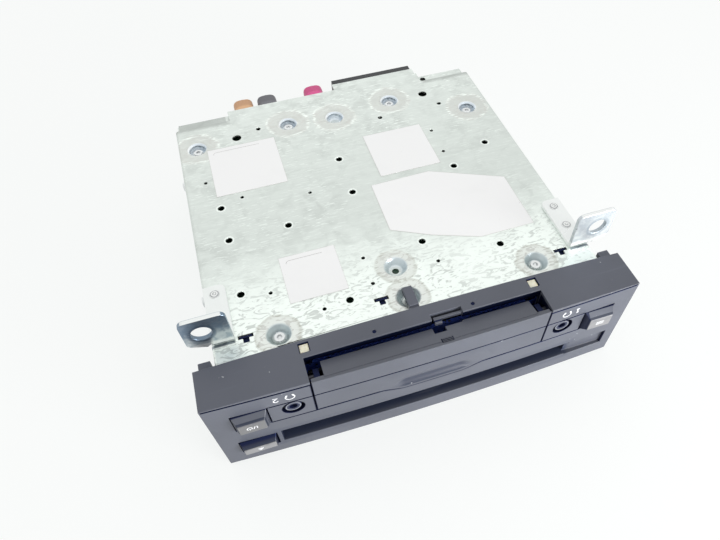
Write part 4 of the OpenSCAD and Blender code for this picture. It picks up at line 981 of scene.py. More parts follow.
class Finishes:
    """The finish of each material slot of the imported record, for pieces that have none of their own."""

    table: dict[str, Finish] = {
        "zinc_sheet": GalvanisedSheet("case_zinc", PAN_GREY),
        "zinc_ear": EarPlate("ear_zinc", (0.82, 0.84, 0.83), (0.34, 0.41, 0.46), (0.11, 0.16, 0.23)),
        "nut_brass": PlatedMetal("nut_brass", (0.78, 0.6, 0.3), 0.3, Axis.Z, 0.3, 0.3, (0.4, 0.28, 0.14)),
        "label_paper": Paper("label_paper", (0.895, 0.9, 0.897)),
        "felt": Felt("slot_felt", (0.018, 0.018, 0.02)),
        "light_guide": MilkyPlastic("light_guide", (0.95, 0.91, 0.73)),
        "board_green": SolderMask("board_mask", (0.004, 0.03, 0.014)),
        "socket_black": MouldedPlastic("socket_plastic", (0.01, 0.011, 0.015), 0.42, 0.2, 0.006, 0.15),
        "ring_nickel": PlatedMetal("nickel_plate", (0.74, 0.75, 0.76), 0.2, Axis.Y, 0.2, 0.15),
        "switch_ivory": MouldedPlastic("ivory_plastic", (0.72, 0.68, 0.55), 0.4, 0.2, 0.005, 0.1),
        "insert_yellow": MouldedPlastic("insert_yellow", (0.82, 0.58, 0.04), 0.35, 0.2, 0.004, 0.1),
        "insert_white": MouldedPlastic("insert_white", (0.82, 0.82, 0.8), 0.35, 0.2, 0.004, 0.1),
        "insert_red": MouldedPlastic("insert_red", (0.55, 0.025, 0.025), 0.35, 0.2, 0.004, 0.1),
        "chip_black": MouldedPlastic("chip_resin", (0.022, 0.022, 0.023), 0.6, 0.12, 0.01, 0.2),
        "capacitor_can": PlatedMetal("can_aluminium", (0.78, 0.79, 0.8), 0.3, Axis.Z, 0.3, 0.1),
        "ribbon_film": RibbonFilm("ribbon_film", (0.78, 0.8, 0.82)),
        "coax_tan": CapPlastic("coax_tan", (0.55, 0.3, 0.15), 0.42, 0.25, 0.006, 0.2),
        "coax_grey": CapPlastic("coax_grey", (0.1, 0.1, 0.115), 0.42, 0.25, 0.006, 0.2),
        "coax_magenta": CapPlastic("coax_magenta", (0.58, 0.045, 0.2), 0.42, 0.25, 0.006, 0.2),
        "contact_gold": PlatedMetal(
            "contact_gold", (0.86, 0.66, 0.3), 0.22, Axis.Y, 0.15, 0.12, (0.5, 0.36, 0.16)
        ),
        "drive_steel": PlatedMetal("drive_steel", (0.66, 0.67, 0.68), 0.34, Axis.X, 0.3, 0.25),
        "damper_rubber": Rubber("damper_rubber", (0.025, 0.025, 0.026)),
        "drive_plastic": MouldedPlastic("drive_plastic", (0.035, 0.035, 0.038), 0.5, 0.25, 0.008, 0.2),
        "roller_rubber": Rubber("roller_rubber", (0.03, 0.03, 0.03)),
        "gear_nylon": MouldedPlastic("gear_nylon", (0.8, 0.78, 0.7), 0.45, 0.25, 0.004, 0.05),
        "pinion_brass": PlatedMetal(
            "pinion_brass", (0.8, 0.62, 0.3), 0.28, Axis.X, 0.2, 0.2, (0.42, 0.3, 0.14)
        ),
        "motor_can": PlatedMetal("motor_can", (0.7, 0.71, 0.72), 0.3, Axis.Z, 0.3, 0.2),
        "sled_alloy": PlatedMetal("sled_alloy", (0.55, 0.56, 0.57), 0.45, Axis.Y, 0.5, 0.3),
        "lens_glass": ClearGlass("lens_glass", (0.8, 0.88, 0.95)),
    }


@dataclass(frozen=True)
class EdgeRound:
    """How the edges of a piece are broken."""

    radius_mm: float
    segments: int = 2

    def add(self, piece: Piece, limit: EdgeLimit) -> None:
        """Adds a bevel to a piece.

        Args:
            piece: The piece.
            limit: Which edges are taken.
        """
        bevel = piece.modifiers.new("edge_round", "BEVEL")
        bevel.limit_method = limit.value
        bevel.angle_limit = SMOOTH_ANGLE
        bevel.width = self.radius_mm * MM
        bevel.segments = self.segments
        bevel.use_clamp_overlap = False
        bevel.harden_normals = True


def to_mesh(form: Form, name: str) -> bpy.types.Mesh:
    """Ends a form as a mesh.

    Args:
        form: The form.
        name: The mesh's name.

    Returns:
        The mesh.
    """
    mesh = bpy.data.meshes.new(name)
    form.to_mesh(mesh)
    form.free()
    return mesh


def weigh_edges(form: Form, share_of: Callable[[list[Triple]], float]) -> None:
    """Marks the edges of a form that get a wide round.

    Args:
        form: The form.
        share_of: Finds an edge's share of the round from its ends, as places of the source.
    """
    layers = form.edges.layers.float
    weight = layers.get(WEIGHT_LAYER) or layers.new(WEIGHT_LAYER)
    for edge in form.edges:
        edge[weight] = share_of([source_place(vert.co) for vert in edge.verts])


def finish_piece(name: str, mesh: bpy.types.Mesh, finish: Finish, body: str) -> Piece:
    """Links a mesh as a smooth-shaded piece of the object.

    Args:
        name: The piece's name.
        mesh: Its mesh, in place.
        finish: Its finish.
        body: The body that it rides on.

    Returns:
        The piece.
    """
    mesh.shade_smooth()
    mesh.set_sharp_from_angle(angle=SMOOTH_ANGLE)
    mesh.materials.clear()
    mesh.materials.append(finish.material())
    piece = bpy.data.objects.new(name, mesh)
    bpy.context.scene.collection.objects.link(piece)
    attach(piece, body)
    LOG.info("built %s", name)
    return piece


@dataclass
class Frame:
    """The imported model: its node objects and the material slot of each."""

    nodes: dict[str, Piece]
    slots: dict[str, str]

    def finish(self, node: str) -> Finish:
        """The finish of a node's slot."""
        return Finishes.table[self.slots[node]]

    def dress(self, node: str, finish: Finish | None = None) -> None:
        """Gives a node that stays its finish.

        Args:
            node: The node's name.
            finish: Its finish, if not that of its slot.
        """
        for kept in self.nodes[node].material_slots:
            kept.link = "OBJECT"
            kept.material = (finish or self.finish(node)).material()
        LOG.info("dressed %s", node)

    def form(self, node: str, name: str, edge: EdgeRound, finish: Finish | None = None,
             soften: Callable[[Form], float] | None = None,
             trim: Callable[[Form], None] | None = None) -> None:
        """Makes the shown form of a node, with broken edges and even shading.

        Args:
            node: The node that it stands for.
            name: The new piece's name.
            edge: How its edges are broken.
            finish: Its finish, if not that of its slot.
            soften: Marks edges that get a wider round and returns that round's radius in millimetres.
            trim: Takes off what another piece shows better.
        """
        source = self.nodes[node]
        form = bmesh.new()
        form.from_mesh(source.data)
        bmesh.ops.remove_doubles(form, verts=form.verts, dist=WELD)
        if trim:
            trim(form)
        bmesh.ops.dissolve_limit(form, angle_limit=FLAT_ANGLE, verts=form.verts, edges=form.edges)
        wide_mm = soften(form) if soften else 0.0
        mesh = to_mesh(form, name)
        piece = finish_piece(name, mesh, finish or self.finish(node), source["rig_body"])
        if wide_mm:
            EdgeRound(wide_mm, WIDE_SEGMENTS).add(piece, EdgeLimit.WEIGHT)
        edge.add(piece, EdgeLimit.ANGLE)
        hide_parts(node)


@dataclass(frozen=True)
class Canvas:
    """A place that marks are drawn on: a flat drawing laid on a surface of the part."""

    origin: Triple
    right: Triple = (1.0, 0.0, 0.0)
    up: Triple = (0.0, 1.0, 0.0)
    out: Triple = (0.0, 0.0, 1.0)
    bow: Callable[[float], float] | None = None

    def point(self, u: float, v: float, lift: float) -> Vector:
        """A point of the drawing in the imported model.

        Args:
            u: Place to the right in the drawing, in millimetres.
            v: Place up in the drawing, in millimetres.
            lift: Height over the surface, in millimetres.

        Returns:
            The point.
        """
        spot = Vector(self.origin) + u * Vector(self.right) + v * Vector(self.up) + lift * Vector(self.out)
        if self.bow:
            spot.y += self.bow(spot.x)
        return place(*spot)


@dataclass
class Drawing:
    """A mark made of strokes, as thin solids on a canvas."""

    canvas: Canvas
    thick_mm: float = 0.03
    sunk_mm: float = 0.05
    form: Form = field(default_factory=bmesh.new)

    def _corner(self, u: float, v: float, lift: float) -> bmesh.types.BMVert:
        """Adds a corner at a place of the drawing."""
        return self.form.verts.new(self.canvas.point(u, v, lift))

    def stroke(self, line: Sequence[Pair], width: float, closed: bool = False) -> None:
        """Adds a stroke along a line.

        Args:
            line: Its points, in millimetres of the drawing.
            width: Its width.
            closed: Whether its end joins its start.
        """
        last = len(line) - 1
        low, high = -self.sunk_mm, self.thick_mm
        rings = []
        for i, (u, v) in enumerate(line):
            before = line[i - 1] if closed or i else line[i]
            after = line[(i + 1) % len(line)] if closed or i < last else line[i]
            run = Vector((after[0] - before[0], after[1] - before[1])).normalized()
            side = Vector((-run.y, run.x)) * width / 2
            section = ((side, low), (side, high), (-side, high), (-side, low))
            rings.append([self._corner(u + off.x, v + off.y, lift) for off, lift in section])
        pairs = list(zip(rings, rings[1:])) + ([(rings[-1], rings[0])] if closed else [])
        for first, second in pairs:
            for k in range(4):
                m = (k + 1) % 4
                self.form.faces.new((first[k], first[m], second[m], second[k]))
        if not closed:
            self.form.faces.new(rings[0][::-1])
            self.form.faces.new(rings[-1])

    def patch(self, outline: Sequence[Pair]) -> None:
        """Adds a filled shape.

        Args:
            outline: Its corners, in millimetres of the drawing.
        """
        low = [self._corner(u, v, -self.sunk_mm) for u, v in outline]
        high = [self._corner(u, v, self.thick_mm) for u, v in outline]
        self.form.faces.new(high)
        self.form.faces.new(low[::-1])
        for i in range(len(outline)):
            self.form.faces.new((low[i - 1], low[i], high[i], high[i - 1]))

    def done(self, name: str, finish: Finish, body: str) -> None:
        """Ends the mark as a piece with a finish, a body and a material slot."""
        bmesh.ops.recalc_face_normals(self.form, faces=self.form.faces)
        finish_piece(name, to_mesh(self.form, name), finish, body)


def spline(points: Sequence[Pair], steps: int) -> list[Pair]:
    """Points along a smooth curve through given ones.

    Args:
        points: The given points.
        steps: How many steps each stretch has.

    Returns:
        The curve's points.
    """
    curve = []
    for i in range(len(points) - 1):
        around = [points[max(0, min(len(points) - 1, k))] for k in range(i - 1, i + 3)]
        for t in (step / steps for step in range(steps)):
            share = (
                t * (-0.5 + t - 0.5 * t * t), 1 + t * t * (1.5 * t - 2.5),
                t * (0.5 + 2 * t - 1.5 * t * t), t * t * (0.5 * t - 0.5),
            )
            curve.append(tuple(sum(w * point[axis] for w, point in zip(share, around)) for axis in (0, 1)))
    return curve + [points[-1]]


def arc(mid: Pair, radius: float, start: float, end: float, steps: int) -> list[Pair]:
    """Points along an arc, from its middle, radius, first and last angle in degrees and number of steps."""
    angles = [math.radians(start + (end - start) * i / steps) for i in range(steps + 1)]
    return [(mid[0] + radius * math.cos(a), mid[1] + radius * math.sin(a)) for a in angles]


@dataclass
class Case:
    """Sheet-metal case: pan, lid, rear plate, screws and paper labels."""

    frame: Frame
    pan_z: float = 55.2
    dish_deep: float = 4.0
    dish_floor: float = 3.2
    rear_rim: float = 4.9
    front_rim: float = 5.6
    rear_ring: float = 12.6
    front_ring: float = 10.0
    rim_round: float = 1.5
    front_lip: float = 0.6
    floor_share: float = 0.5
    near: Pair = (0.06, 0.02)
    rear_dishes: tuple[Pair, ...] = (
        (-80.0, 159.5), (-27.5, 164.9), (34.5, 166.6), (76.0, 145.8), (-0.5, 162.0),
    )
    front_dishes: tuple[Pair, ...] = ((-61.5, 26.7), (61.5, 27.5), (-2.0, 45.8), (-2.0, 27.5))
    hole_r: float = 1.7
    hole_places: tuple[Pair, ...] = (
        (-7.5, 125.8), (-7.5, 99.3), (-74.0, 109.5), (-73.5, 86.7), (-44.0, 87.2), (-73.5, 52.6),
        (-27.5, 34.0), (73.0, 113.2), (49.5, 100.8), (15.0, 56.1), (50.0, 42.7),
    )
    # The lowered left tail is painted darker; painted shade lies on the step down to both rear tails and in a
    # line at the foot of each ear's tab.
    shades: tuple[tuple[Box, Colour], ...] = (
        (Box((-91.0, 178.6, 50.0), (-61.5, 188.0, 56.0), False, 1.0), shade(PAN_GREY, 0.62)),
        (Box((61.5, 177.6, 50.0), (90.0, 179.0, 56.0), soft_mm=3.5), shade(PAN_GREY, 0.6)),
        (Box((80.2, 28.5, 54.0), (90.0, 29.3, 57.0), soft_mm=0.6), (0.08, 0.12, 0.17)),
    )
    label_z: float = 55.35
    cut_line: Pair = (0.14, 0.005)
    hairline: Pair = (0.2, 0.01)
    label_boxes: tuple[tuple[float, float, float, float], ...] = (
        (-74.8, 118.0, 37.2, 37.4), (10.0, 105.5, 33.6, 34.0), (-53.2, 40.3, 27.0, 27.2),
    )
    label_outline: tuple[Pair, ...] = (
        (3.0, 100.4), (35.0, 101.0), (71.2, 84.2), (71.2, 49.8), (43.0, 49.6), (20.5, 58.4), (2.6, 67.9),
    )

    def dishes(self) -> list[tuple[float, float, float, float]]:
        """Every dish as a place, a rim radius and the radius of its pressed ring, in millimetres."""
        rear = [(x, y, self.rear_rim, self.rear_ring) for x, y in self.rear_dishes]
        return rear + [(x, y, self.front_rim, self.front_ring) for x, y in self.front_dishes]

    def _rim_share(self, ends: Sequence[Triple]) -> float:
        """Finds how much of the wide round an edge of the pan gets.

        Args:
            ends: The edge's ends, as places of the source.

        Returns:
            The share, which is 0 for an edge of no dish.
        """
        near_r, near_z = self.near
        floor = (self.dish_floor, self.pan_z - self.dish_deep, self.floor_share)
        for x, y, rim, _ in self.dishes():
            spots = [(math.hypot(end_x - x, end_y - y), end_z) for end_x, end_y, end_z in ends]
            lip = (rim, self.pan_z, 1.0 if rim < self.front_rim else self.front_lip)
            for radius, z, share in (lip, floor):
                if all(abs(off - radius) < near_r and abs(up - z) < near_z for off, up in spots):
                    return share
        return 0.0

    def _mark_rims(self, form: Form) -> float:
        """Marks the rims and floors of the dishes for a wide round, and returns its radius."""
        weigh_edges(form, self._rim_share)
        return self.rim_round

    def _rule_labels(self) -> None:
        """Draws a painted shade line round the edge of each label, and the printed hairline along the rear
        edge of the left ones.
        """
        ink = Legend("label_hairline", (0.42, 0.41, 0.4))
        edge = Legend("label_edge", (0.6, 0.58, 0.56))
        outlines = [[(x, y), (x + w, y), (x + w, y + d), (x, y + d)] for x, y, w, d in self.label_boxes]
        for i, outline in enumerate(outlines + [list(self.label_outline)], 1):
            drawing = Drawing(Canvas((0.0, 0.0, self.label_z)), self.cut_line[1])
            drawing.stroke(outline, self.cut_line[0], closed=True)
            drawing.done(f"label_edge_{i}", edge, "chassis")
        for i, (x, y, w, d) in enumerate(self.label_boxes, 1):
            if x < 0:
                drawing = Drawing(Canvas((x, y, self.label_z)), self.hairline[1])
                end = [(w * share, d - 2.7) for share in (0.45, 0.76)]
                drawing.stroke(arc((4.6, d - 4.4), 1.7, 180.0, 90.0, 8) + end, self.hairline[0])
                drawing.done(f"label_hairline_{i}", ink, "chassis")

    def build(self) -> None:
        """Builds and dresses the case."""
        holes = tuple((x, y, self.hole_r) for x, y in self.hole_places)
        pan = GalvanisedSheet("pan_zinc", PAN_GREY, 0.42, tuple(self.dishes()), holes, self.shades)
        self.frame.form("base_pan", "pan_shell", EdgeRound(0.18), pan, self._mark_rims)
        self.frame.form("lid", "lid_shell", EdgeRound(0.18))
        self.frame.form("rear_panel", "rear_plate", EdgeRound(0.15))
        axes = tuple((x, y, 0.0) for x, y in self.rear_dishes[:4] + self.front_dishes[:2])
        heads = FixingHead("screw_heads", (0.9, 0.92, 0.92), axes, 2.6, 0.95, False, 0.3)
        self.frame.form("screws", "case_screws", EdgeRound(0.3, 3), heads)
        self.frame.dress("labels")
        self._rule_labels()


@dataclass
class Ears:
    """Riveted mounting ears."""

    frame: Frame
    edge: EdgeRound = EdgeRound(0.35, 3)
    rivet_x: float = 84.5
    rivet_y: Pair = (42.0, 55.0)

    def build(self) -> None:
        """Builds and dresses the ears and their rivets."""
        self.frame.form("ear_left", "left_ear", self.edge)
        # The right ear's finish is a paler, less metallic copy of the left's, painted as more brightly lit.
        tab, ring = (0.49, 0.53, 0.56), (0.36, 0.42, 0.47)
        pale = EarPlate("ear_zinc_pale", (0.86, 0.88, 0.87), tab, ring, metal=0.5, upper=0.25)
        self.frame.form("ear_right", "right_ear", self.edge, pale)
        axes = tuple((self.rivet_x, y, 0.0) for y in self.rivet_y)
        rivet = FixingHead("rivet_zinc", (0.82, 0.83, 0.82), axes)
        self.frame.form("ear_rivets", "rivet_heads", EdgeRound(0.15, 3), rivet)


@dataclass(frozen=True)
class KeyCap:
    """A key: its place, how far it stands out and half its well, in millimetres, and how its face and sides
    are painted lit and shaded.
    """

    name: str
    x: float
    z: float
    out: float
    well: Pair
    slope: float
    face: float
    clean: float
    fade: float = 0.35
    side: Box | None = None
    well_slack: float = 0.1
    well_y: Pair = (-4.0, 3.0)

    def finish(self, face_y: float) -> Finish:
        """Works out the key's plastic.

        Args:
            face_y: Depth of the panel's face at the key.

        Returns:
            The finish.
        """
        return KeyPlastic(
            self.name, shade(FRONT_GREY, self.slope), 0.36, face_mm=face_y - self.out, clean_mm=self.clean,
            fade_mm=self.fade, face_colour=shade(KEY_FACE_LIT, self.face), dark_side=self.side,
        )

    def gap(self) -> Box:
        """Works out the key's well in the bezel.

        Returns:
            The well's box.
        """
        w, h = (half + self.well_slack for half in self.well)
        front, back = self.well_y
        return Box((self.x - w, front, self.z - h), (self.x + w, back, self.z + h), mirrored=False)


@dataclass
class FrontPanel:
    """Moulded front: bezel, flap, keys, headphone sockets, light guides and legends."""

    frame: Frame
    face_r: float = 2043.075
    crown: float = 2.4
    # The eject key's sides are painted deep in shade; each key's face is painted paler, as lit; painted shade
    # runs down the sides from a depth behind the face, and the mode key has one side painted in shade.
    power: KeyCap = KeyCap("power", -81.6, 38.7, 3.6, (7.8, 7.0), 0.9, 1.1, 3.15)
    mode: KeyCap = KeyCap("mode", 81.6, 38.7, 3.6, (7.8, 7.0), 1.1, 1.7, 3.15,
                          side=Box((73.0, -6.0, 30.0), (75.75, 3.0, 48.0), False, 0.25))
    eject: KeyCap = KeyCap("eject", -82.55, 14.5, 3.0, (8.6, 5.5), 0.3, 1.8, 0.25, 2.2)
    flap_x: float = 53.8
    flap_gap: float = 0.5
    groove_z: Pair = (31.7, 45.7)
    groove_half: float = 0.34
    groove_end: float = 74.2
    groove_y: Pair = (-3.0, 1.0)
    edge_groove: Box = Box((53.8, -3.0, 55.05), (98.4, 0.5, 56.05))
    mouth: Box = Box((0.0, 1.2, 9.3), (71.9, 18.0, 20.6), soft_mm=4.2)
    mouth_end: Box = Box((92.9, -3.0, 9.0), (93.3, 1.0, 19.9), False)
    arm_room: Box = Box((0.0, 19.4, 40.0), (90.5, 45.0, 55.3))
    hinge_room: Box = Box((48.1, 0.9, 40.0), (53.5, 8.0, 55.2))
    catch_room: Box = Box((3.3, -0.9, 50.0), (8.5, 1.1, 56.6), False)
    guide: Pair = (52.8, 15.0)
    bores: tuple[tuple[Triple, float, Axis], ...] = (
        ((63.3, 0.0, 40.3), 4.95, Axis.Y), ((22.6, 12.9, 58.0), 0.75, Axis.Z),
    )
    pull: PullEdge = PullEdge()
    pull_w: float = 51.0
    skin: float = 0.3
    pull_out: float = 0.25
    pull_top: float = 7.4
    pull_root: float = -2.95
    pull_columns: int = 120
    pull_line: tuple[Pair, ...] = (
        (0.3, 0.0), (0.9, -0.45), (1.8, -0.85), (2.8, -0.95), (4.0, -0.75), (5.2, -0.35), (6.2, -0.07),
        (6.9, 0.0),
    )
    legend_z: float = 50.4
    sign_x: Pair = (-63.4, 63.2)
    number_x: Pair = (-69.4, 68.5)
    line: float = 0.5
    rib_corner: Triple = (3.3, -0.85, 56.45)
    rib_rows: Triple = (0.3, 1.0, 1.7)
    rib_ends: Pair = (0.25, 4.95)
    rib_size: Pair = (0.28, 0.5)
    ink: Finish = Legend("legend_white", (0.85, 0.86, 0.88))

    def face_y(self, x: float) -> float:
        """Depth of the bowed face at a place across it, in millimetres."""
        return self.face_r - self.crown - math.sqrt(self.face_r**2 - x * x)

    def _groove(self, z: float, start: float, end: float) -> Box:
        """A groove across the face."""
        front, back = self.groove_y
        return Box((start, front, z - self.groove_half), (end, back, z + self.groove_half))

    def _bezel_finish(self) -> Finish:
        """Works out the bezel's plastic.

        Returns:
            The finish, painted in shade in the bezel's grooves, wells and openings and under the flap's
            dipped pull.
        """
        side = self.flap_x + self.flap_gap
        x, y = self.guide
        flap_foot = Box((0.0, -3.0, 31.4), (side + 0.1, 9.0, 32.1))
        flap_side = Box((side - 0.2, -3.0, 32.0), (side + 0.3, 9.0, 56.0))
        bay_rear = Box((0.0, 9.6, 30.0), (side + 0.2, 10.35, 57.3))
        guide_room = Box((x - 2.3, y - 2.4, 50.0), (x + 2.3, y + 2.4, 57.9))
        gaps = (
            *(self._groove(z, self.flap_x, self.groove_end) for z in self.groove_z),
            *(key.gap() for key in (self.power, self.mode, self.eject)),
            self.edge_groove, self.mouth_end, self.arm_room, flap_foot, flap_side, bay_rear, guide_room,
        )
        return GappedPlastic(
            "front_plastic", FRONT_GREY, 0.46, gaps=gaps, bores=self.bores, shaded=(self.mouth,),
            pull=self.pull,
        )

    def _flap_finish(self) -> Finish:
        """Works out the flap's plastic.

        Returns:
            The finish, painted in shade in the flap's groove, ends, hinge ears and catch window, and in the
            scoop of its finger pull.
        """
        ends = Box((self.flap_x - 0.25, -3.0, 30.0), (self.flap_x + 1.0, 9.0, 57.0))
        gaps = (self._groove(self.groove_z[1], 0.0, self.flap_x), ends, self.hinge_room, self.catch_room)
        return ScoopedPlastic("flap_plastic", shade(FRONT_GREY, 0.97), 0.44, gaps=gaps, scoop=self.pull)

    def _cut_pull(self, form: Form) -> None:
        """Opens a window in the flap's face for the finger pull.

        Args:
            form: The flap.
        """
        half, top = self.pull_w / 2, self.pull.z + self.pull_top
        across, up = (1, 0, 0), (0, 0, 1)
        for at, way in (((-half, 0.0, 0.0), across), ((half, 0.0, 0.0), across), ((0.0, 0.0, top), up)):
            geom = form.verts[:] + form.edges[:] + form.faces[:]
            bmesh.ops.bisect_plane(form, geom=geom, dist=1e-7, plane_co=place(*at), plane_no=way)
        loose = []
        for face in form.faces:
            x, y, z = source_place(face.calc_center_median())
            if abs(x) < half and y < self.skin and z < top:
                loose.append(face)
        bmesh.ops.delete(form, geom=loose, context="FACES")

    def _pull_rows(self, x: float, scoop: Sequence[Pair]) -> list[Pair]:
        """Works out one column of the finger pull.

        Args:
            x: Its place across the face.
            scoop: Height over the edge and rise of the points down the scoop's middle.

        Returns:
            How far each point stands out of the face, and its height over the edge.
        """
        dip = PullEdge.ease(x, self.pull.end_x, self.pull.flat_x)
        lens = PullEdge.ease(x, *self.pull.scoop_x)
        rim, low = self.pull_out * dip, -self.pull.drop * dip
        rows = [(self.pull_root, 0.0), (rim * 0.1, 0.0), (rim * 0.1, low), (rim * 0.7, low), (rim, low + 0.1)]
        rows += [(rim, low * 0.5), (rim, 0.1)]
        rows += [(rise * lens + rim * (1 - min(1.0, z / 2)), z * (0.6 + 0.4 * lens)) for z, rise in scoop]
        return rows + [(0.0, self.pull_top)]

    def _finger_pull(self, finish: Finish) -> None:
        """Builds the finger pull: a scoop in the face over a rim that dips before the bezel.

        Args:
            finish: The flap's finish.
        """
        form = bmesh.new()
        scoop = spline(self.pull_line, 5)
        grid = []
        for i in range(self.pull_columns + 1):
            x = self.pull_w * (i / self.pull_columns - 0.5)
            rows = [place(x, self.face_y(x) - out, self.pull.z + z) for out, z in self._pull_rows(x, scoop)]
            grid.append([form.verts.new(spot) for spot in rows])
        for first, second in zip(grid, grid[1:]):
            for k in range(len(first) - 1):
                form.faces.new((first[k], second[k], second[k + 1], first[k + 1]))
        finish_piece("finger_pull", to_mesh(form, "finger_pull"), finish, "flap")

    def _on_face(self, x: float) -> Canvas:
        """A canvas on the bowed face beside a headphone socket, turned as the unit lies."""
        return Canvas((x, 0.0, self.legend_z), (-1, 0, 0), (0, 0, -1), (0, -1, 0), self.face_y)

    def _on_key(self, key: KeyCap) -> Canvas:
        """A canvas on a key's flat face, turned as the unit lies."""
        return Canvas((key.x, self.face_y(key.x) - key.out, key.z), (-1, 0, 0), (0, 0, -1), (0, -1, 0))

    def _sign(self, name: str, canvas: Canvas, body: str, strokes: Iterable[tuple[Sequence[Pair], float]],
              patch: Sequence[Pair] = ()) -> None:
        """Draws a sign.

        Args:
            name: The piece's name.
            canvas: Where it is drawn.
            body: The body that it rides on.
            strokes: Its lines, with their widths as shares of a plain line's.
            patch: A filled shape in it.
        """
        drawing = Drawing(canvas)
        if patch:
            drawing.patch(patch)
        for line, share in strokes:
            drawing.stroke(line, self.line * share)
        drawing.done(name, self.ink, body)

    def _legends(self) -> None:
        """Draws the signs beside the sockets and on the keys."""
        cups = [([(side * 1.7, -0.35), (side * 1.15, -1.75)], 1.5) for side in (-1, 1)]
        headphones = [(arc((0.0, 0.1), 1.95, -38.0, 218.0, 28), 0.85), *cups]
        one = [([(-0.7, 0.9), (0.1, 1.6), (0.1, -1.6)], 1.0), ([(-0.7, -1.6), (0.9, -1.6)], 1.0)]
        two = [(arc((0.0, 0.65), 0.95, 165.0, -35.0, 12) + [(-0.95, -1.55), (1.05, -1.55)], 1.0)]
        for number, x in zip((2, 1), self.sign_x):
            self._sign(f"headphone_sign_{number}", self._on_face(x), "chassis", headphones)
        for number, x, digit in zip((2, 1), self.number_x, (two, one)):
            self._sign(f"socket_number_{number}", self._on_face(x), "chassis", digit)
        bars = ([(1.3, 0.1), (1.3, 1.2)], [(-1.1, -1.0), (-0.3, 1.0)], [(-1.9, -1.0), (-1.9, 1.0)])
        power = [(line, 0.7) for line in (arc((1.3, -0.15), 1.05, 125.0, 415.0, 22), *bars)]
        self._sign("power_sign", self._on_key(self.power), "power_button", power)
        arrow, bar = [(-1.3, -0.25), (1.3, -0.25), (0.0, 0.95)], [(-1.3, -0.8), (1.3, -0.8)]
        self._sign("eject_sign", self._on_key(self.eject), "eject_button", [(bar, 0.7)], arrow)
        rows = [([(-1.9, row), (1.9, row)], 0.6) for row in (-0.9, 0.0, 0.9)]
        self._sign("mode_sign", self._on_key(self.mode), "mode_button", rows)

    def _catch_ribs(self, finish: Finish) -> None:
        """Draws the ribs beside the flap's catch.

        Args:
            finish: The flap's finish.
        """
        width, high = self.rib_size
        ribs = Drawing(Canvas(self.rib_corner), high)
        for row in self.rib_rows:
            ribs.stroke([(end, row) for end in self.rib_ends], width)
        ribs.done("catch_ribs", finish, "flap")

    def build(self) -> None:
        """Builds and dresses the front."""
        self.frame.form("bezel", "front_bezel", EdgeRound(0.22, 3), self._bezel_finish())
        flap = self._flap_finish()
        self.frame.form("flap", "input_flap", EdgeRound(0.2, 3), flap, trim=self._cut_pull)
        self._finger_pull(flap)
        for key in (self.power, self.mode, self.eject):
            finish = key.finish(self.face_y(key.x))
            self.frame.form(f"{key.name}_key", f"{key.name}_cap", EdgeRound(0.3, 3), finish)
        self.frame.form("light_guides", "guide_blocks", EdgeRound(0.25, 3))
        rim = SocketRing("socket_rim", (0.34, 0.36, 0.4))
        self.frame.form("jack_rings", "socket_rings", EdgeRound(0.2, 3), rim)
        self.frame.form("jack_housings", "socket_bodies", EdgeRound(0.15))
        self._legends()
        self._catch_ribs(flap)
        self.frame.dress("flap_pins", PlatedMetal("pin_steel", (0.05, 0.05, 0.06), 0.35, Axis.X, 0.2, 0.3))
        for node in ("slot_felts", "power_plunger", "mode_plunger", "eject_plunger", "key_switches"):
            self.frame.dress(node)


@dataclass
class InputBay:
    """Phono sockets behind the flap."""

    frame: Frame
    edge: EdgeRound = EdgeRound(0.15)
    shell_edge: EdgeRound = EdgeRound(0.12)

    def build(self) -> None:
        """Builds and dresses the panel, shells and inserts."""
        self.frame.form("input_panel", "input_plate", self.edge)
        self.frame.form("input_shells", "phono_shells", self.shell_edge)
        for node in ("input_yellow", "input_white", "input_red"):
            self.frame.form(node, f"{node}_insert", self.edge)


@dataclass
class RearSockets:
    """Coaxial sockets and the multi-pin header."""

    frame: Frame
    end_y: float = 200.5
    end_back: float = 0.2
    end_round: float = 1.2
    coax_z: float = 47.4
    coax_r: float = 6.0
    wall: float = 0.6
    square: float = 3.2
    spread: float = 0.97
    flat: float = 0.88
    header_back: float = 1.6
    near: float = 0.02

    def _on_end_rim(self, spot: Triple, mid: float) -> bool:
        """Finds whether a place is on the outer end edge of a coaxial housing.

        Args:
            spot: The place.
            mid: The X of the housing's middle.

        Returns:
            Whether it is.
        """
        x, y, z = spot
        far = abs(y - self.end_y) < self.near
        return far and math.hypot(x - mid, z - self.coax_z) > self.coax_r - self.wall

    def _round_end(self, form: Form) -> float:
        """Marks a coaxial housing's outer end edge for a wide round and squares the end off.

        Args:
            form: The housing.

        Returns:
            The round's radius in millimetres.
        """
        spots = [source_place(vert.co) for vert in form.verts]
        across = [x for x, _, _ in spots]
        mid = (min(across) + max(across)) / 2
        weigh_edges(form, lambda ends: float(all(self._on_end_rim(end, mid) for end in ends)))
        far = self.end_y - self.end_back
        for vert, (x, y, z) in zip(form.verts, spots):
            if self._on_end_rim((x, y, z), mid):
                side, up = x - mid, z - self.coax_z
                reach = (abs(side) ** self.square + abs(up) ** self.square) ** (1 / self.square)
                grow = self.coax_r * self.spread / reach
                vert.co = place(mid + side * grow, far, self.coax_z + up * grow * self.flat)
            elif abs(y - self.end_y) < self.near:
                vert.co.y = depth(far)
        return self.end_round

    def _shorten(self, form: Form) -> None:
        """Draws the header's mouth back to where it is seen over the pan.

        Args:
            form: The header.
        """
        for vert in form.verts:
            if vert.co.y > depth(self.end_y - 0.1):
                vert.co.y -= self.header_back * MM

    def build(self) -> None:
        """Builds and dresses the sockets."""
        for node in ("coax_tan", "coax_grey", "coax_magenta"):
            self.frame.form(node, f"{node}_housing", EdgeRound(0.25, 3), soften=self._round_end)
        self.frame.form("header_shroud", "header_body", EdgeRound(0.2), trim=self._shorten)
        for node in ("coax_contacts", "header_pins"):
            self.frame.dress(node)


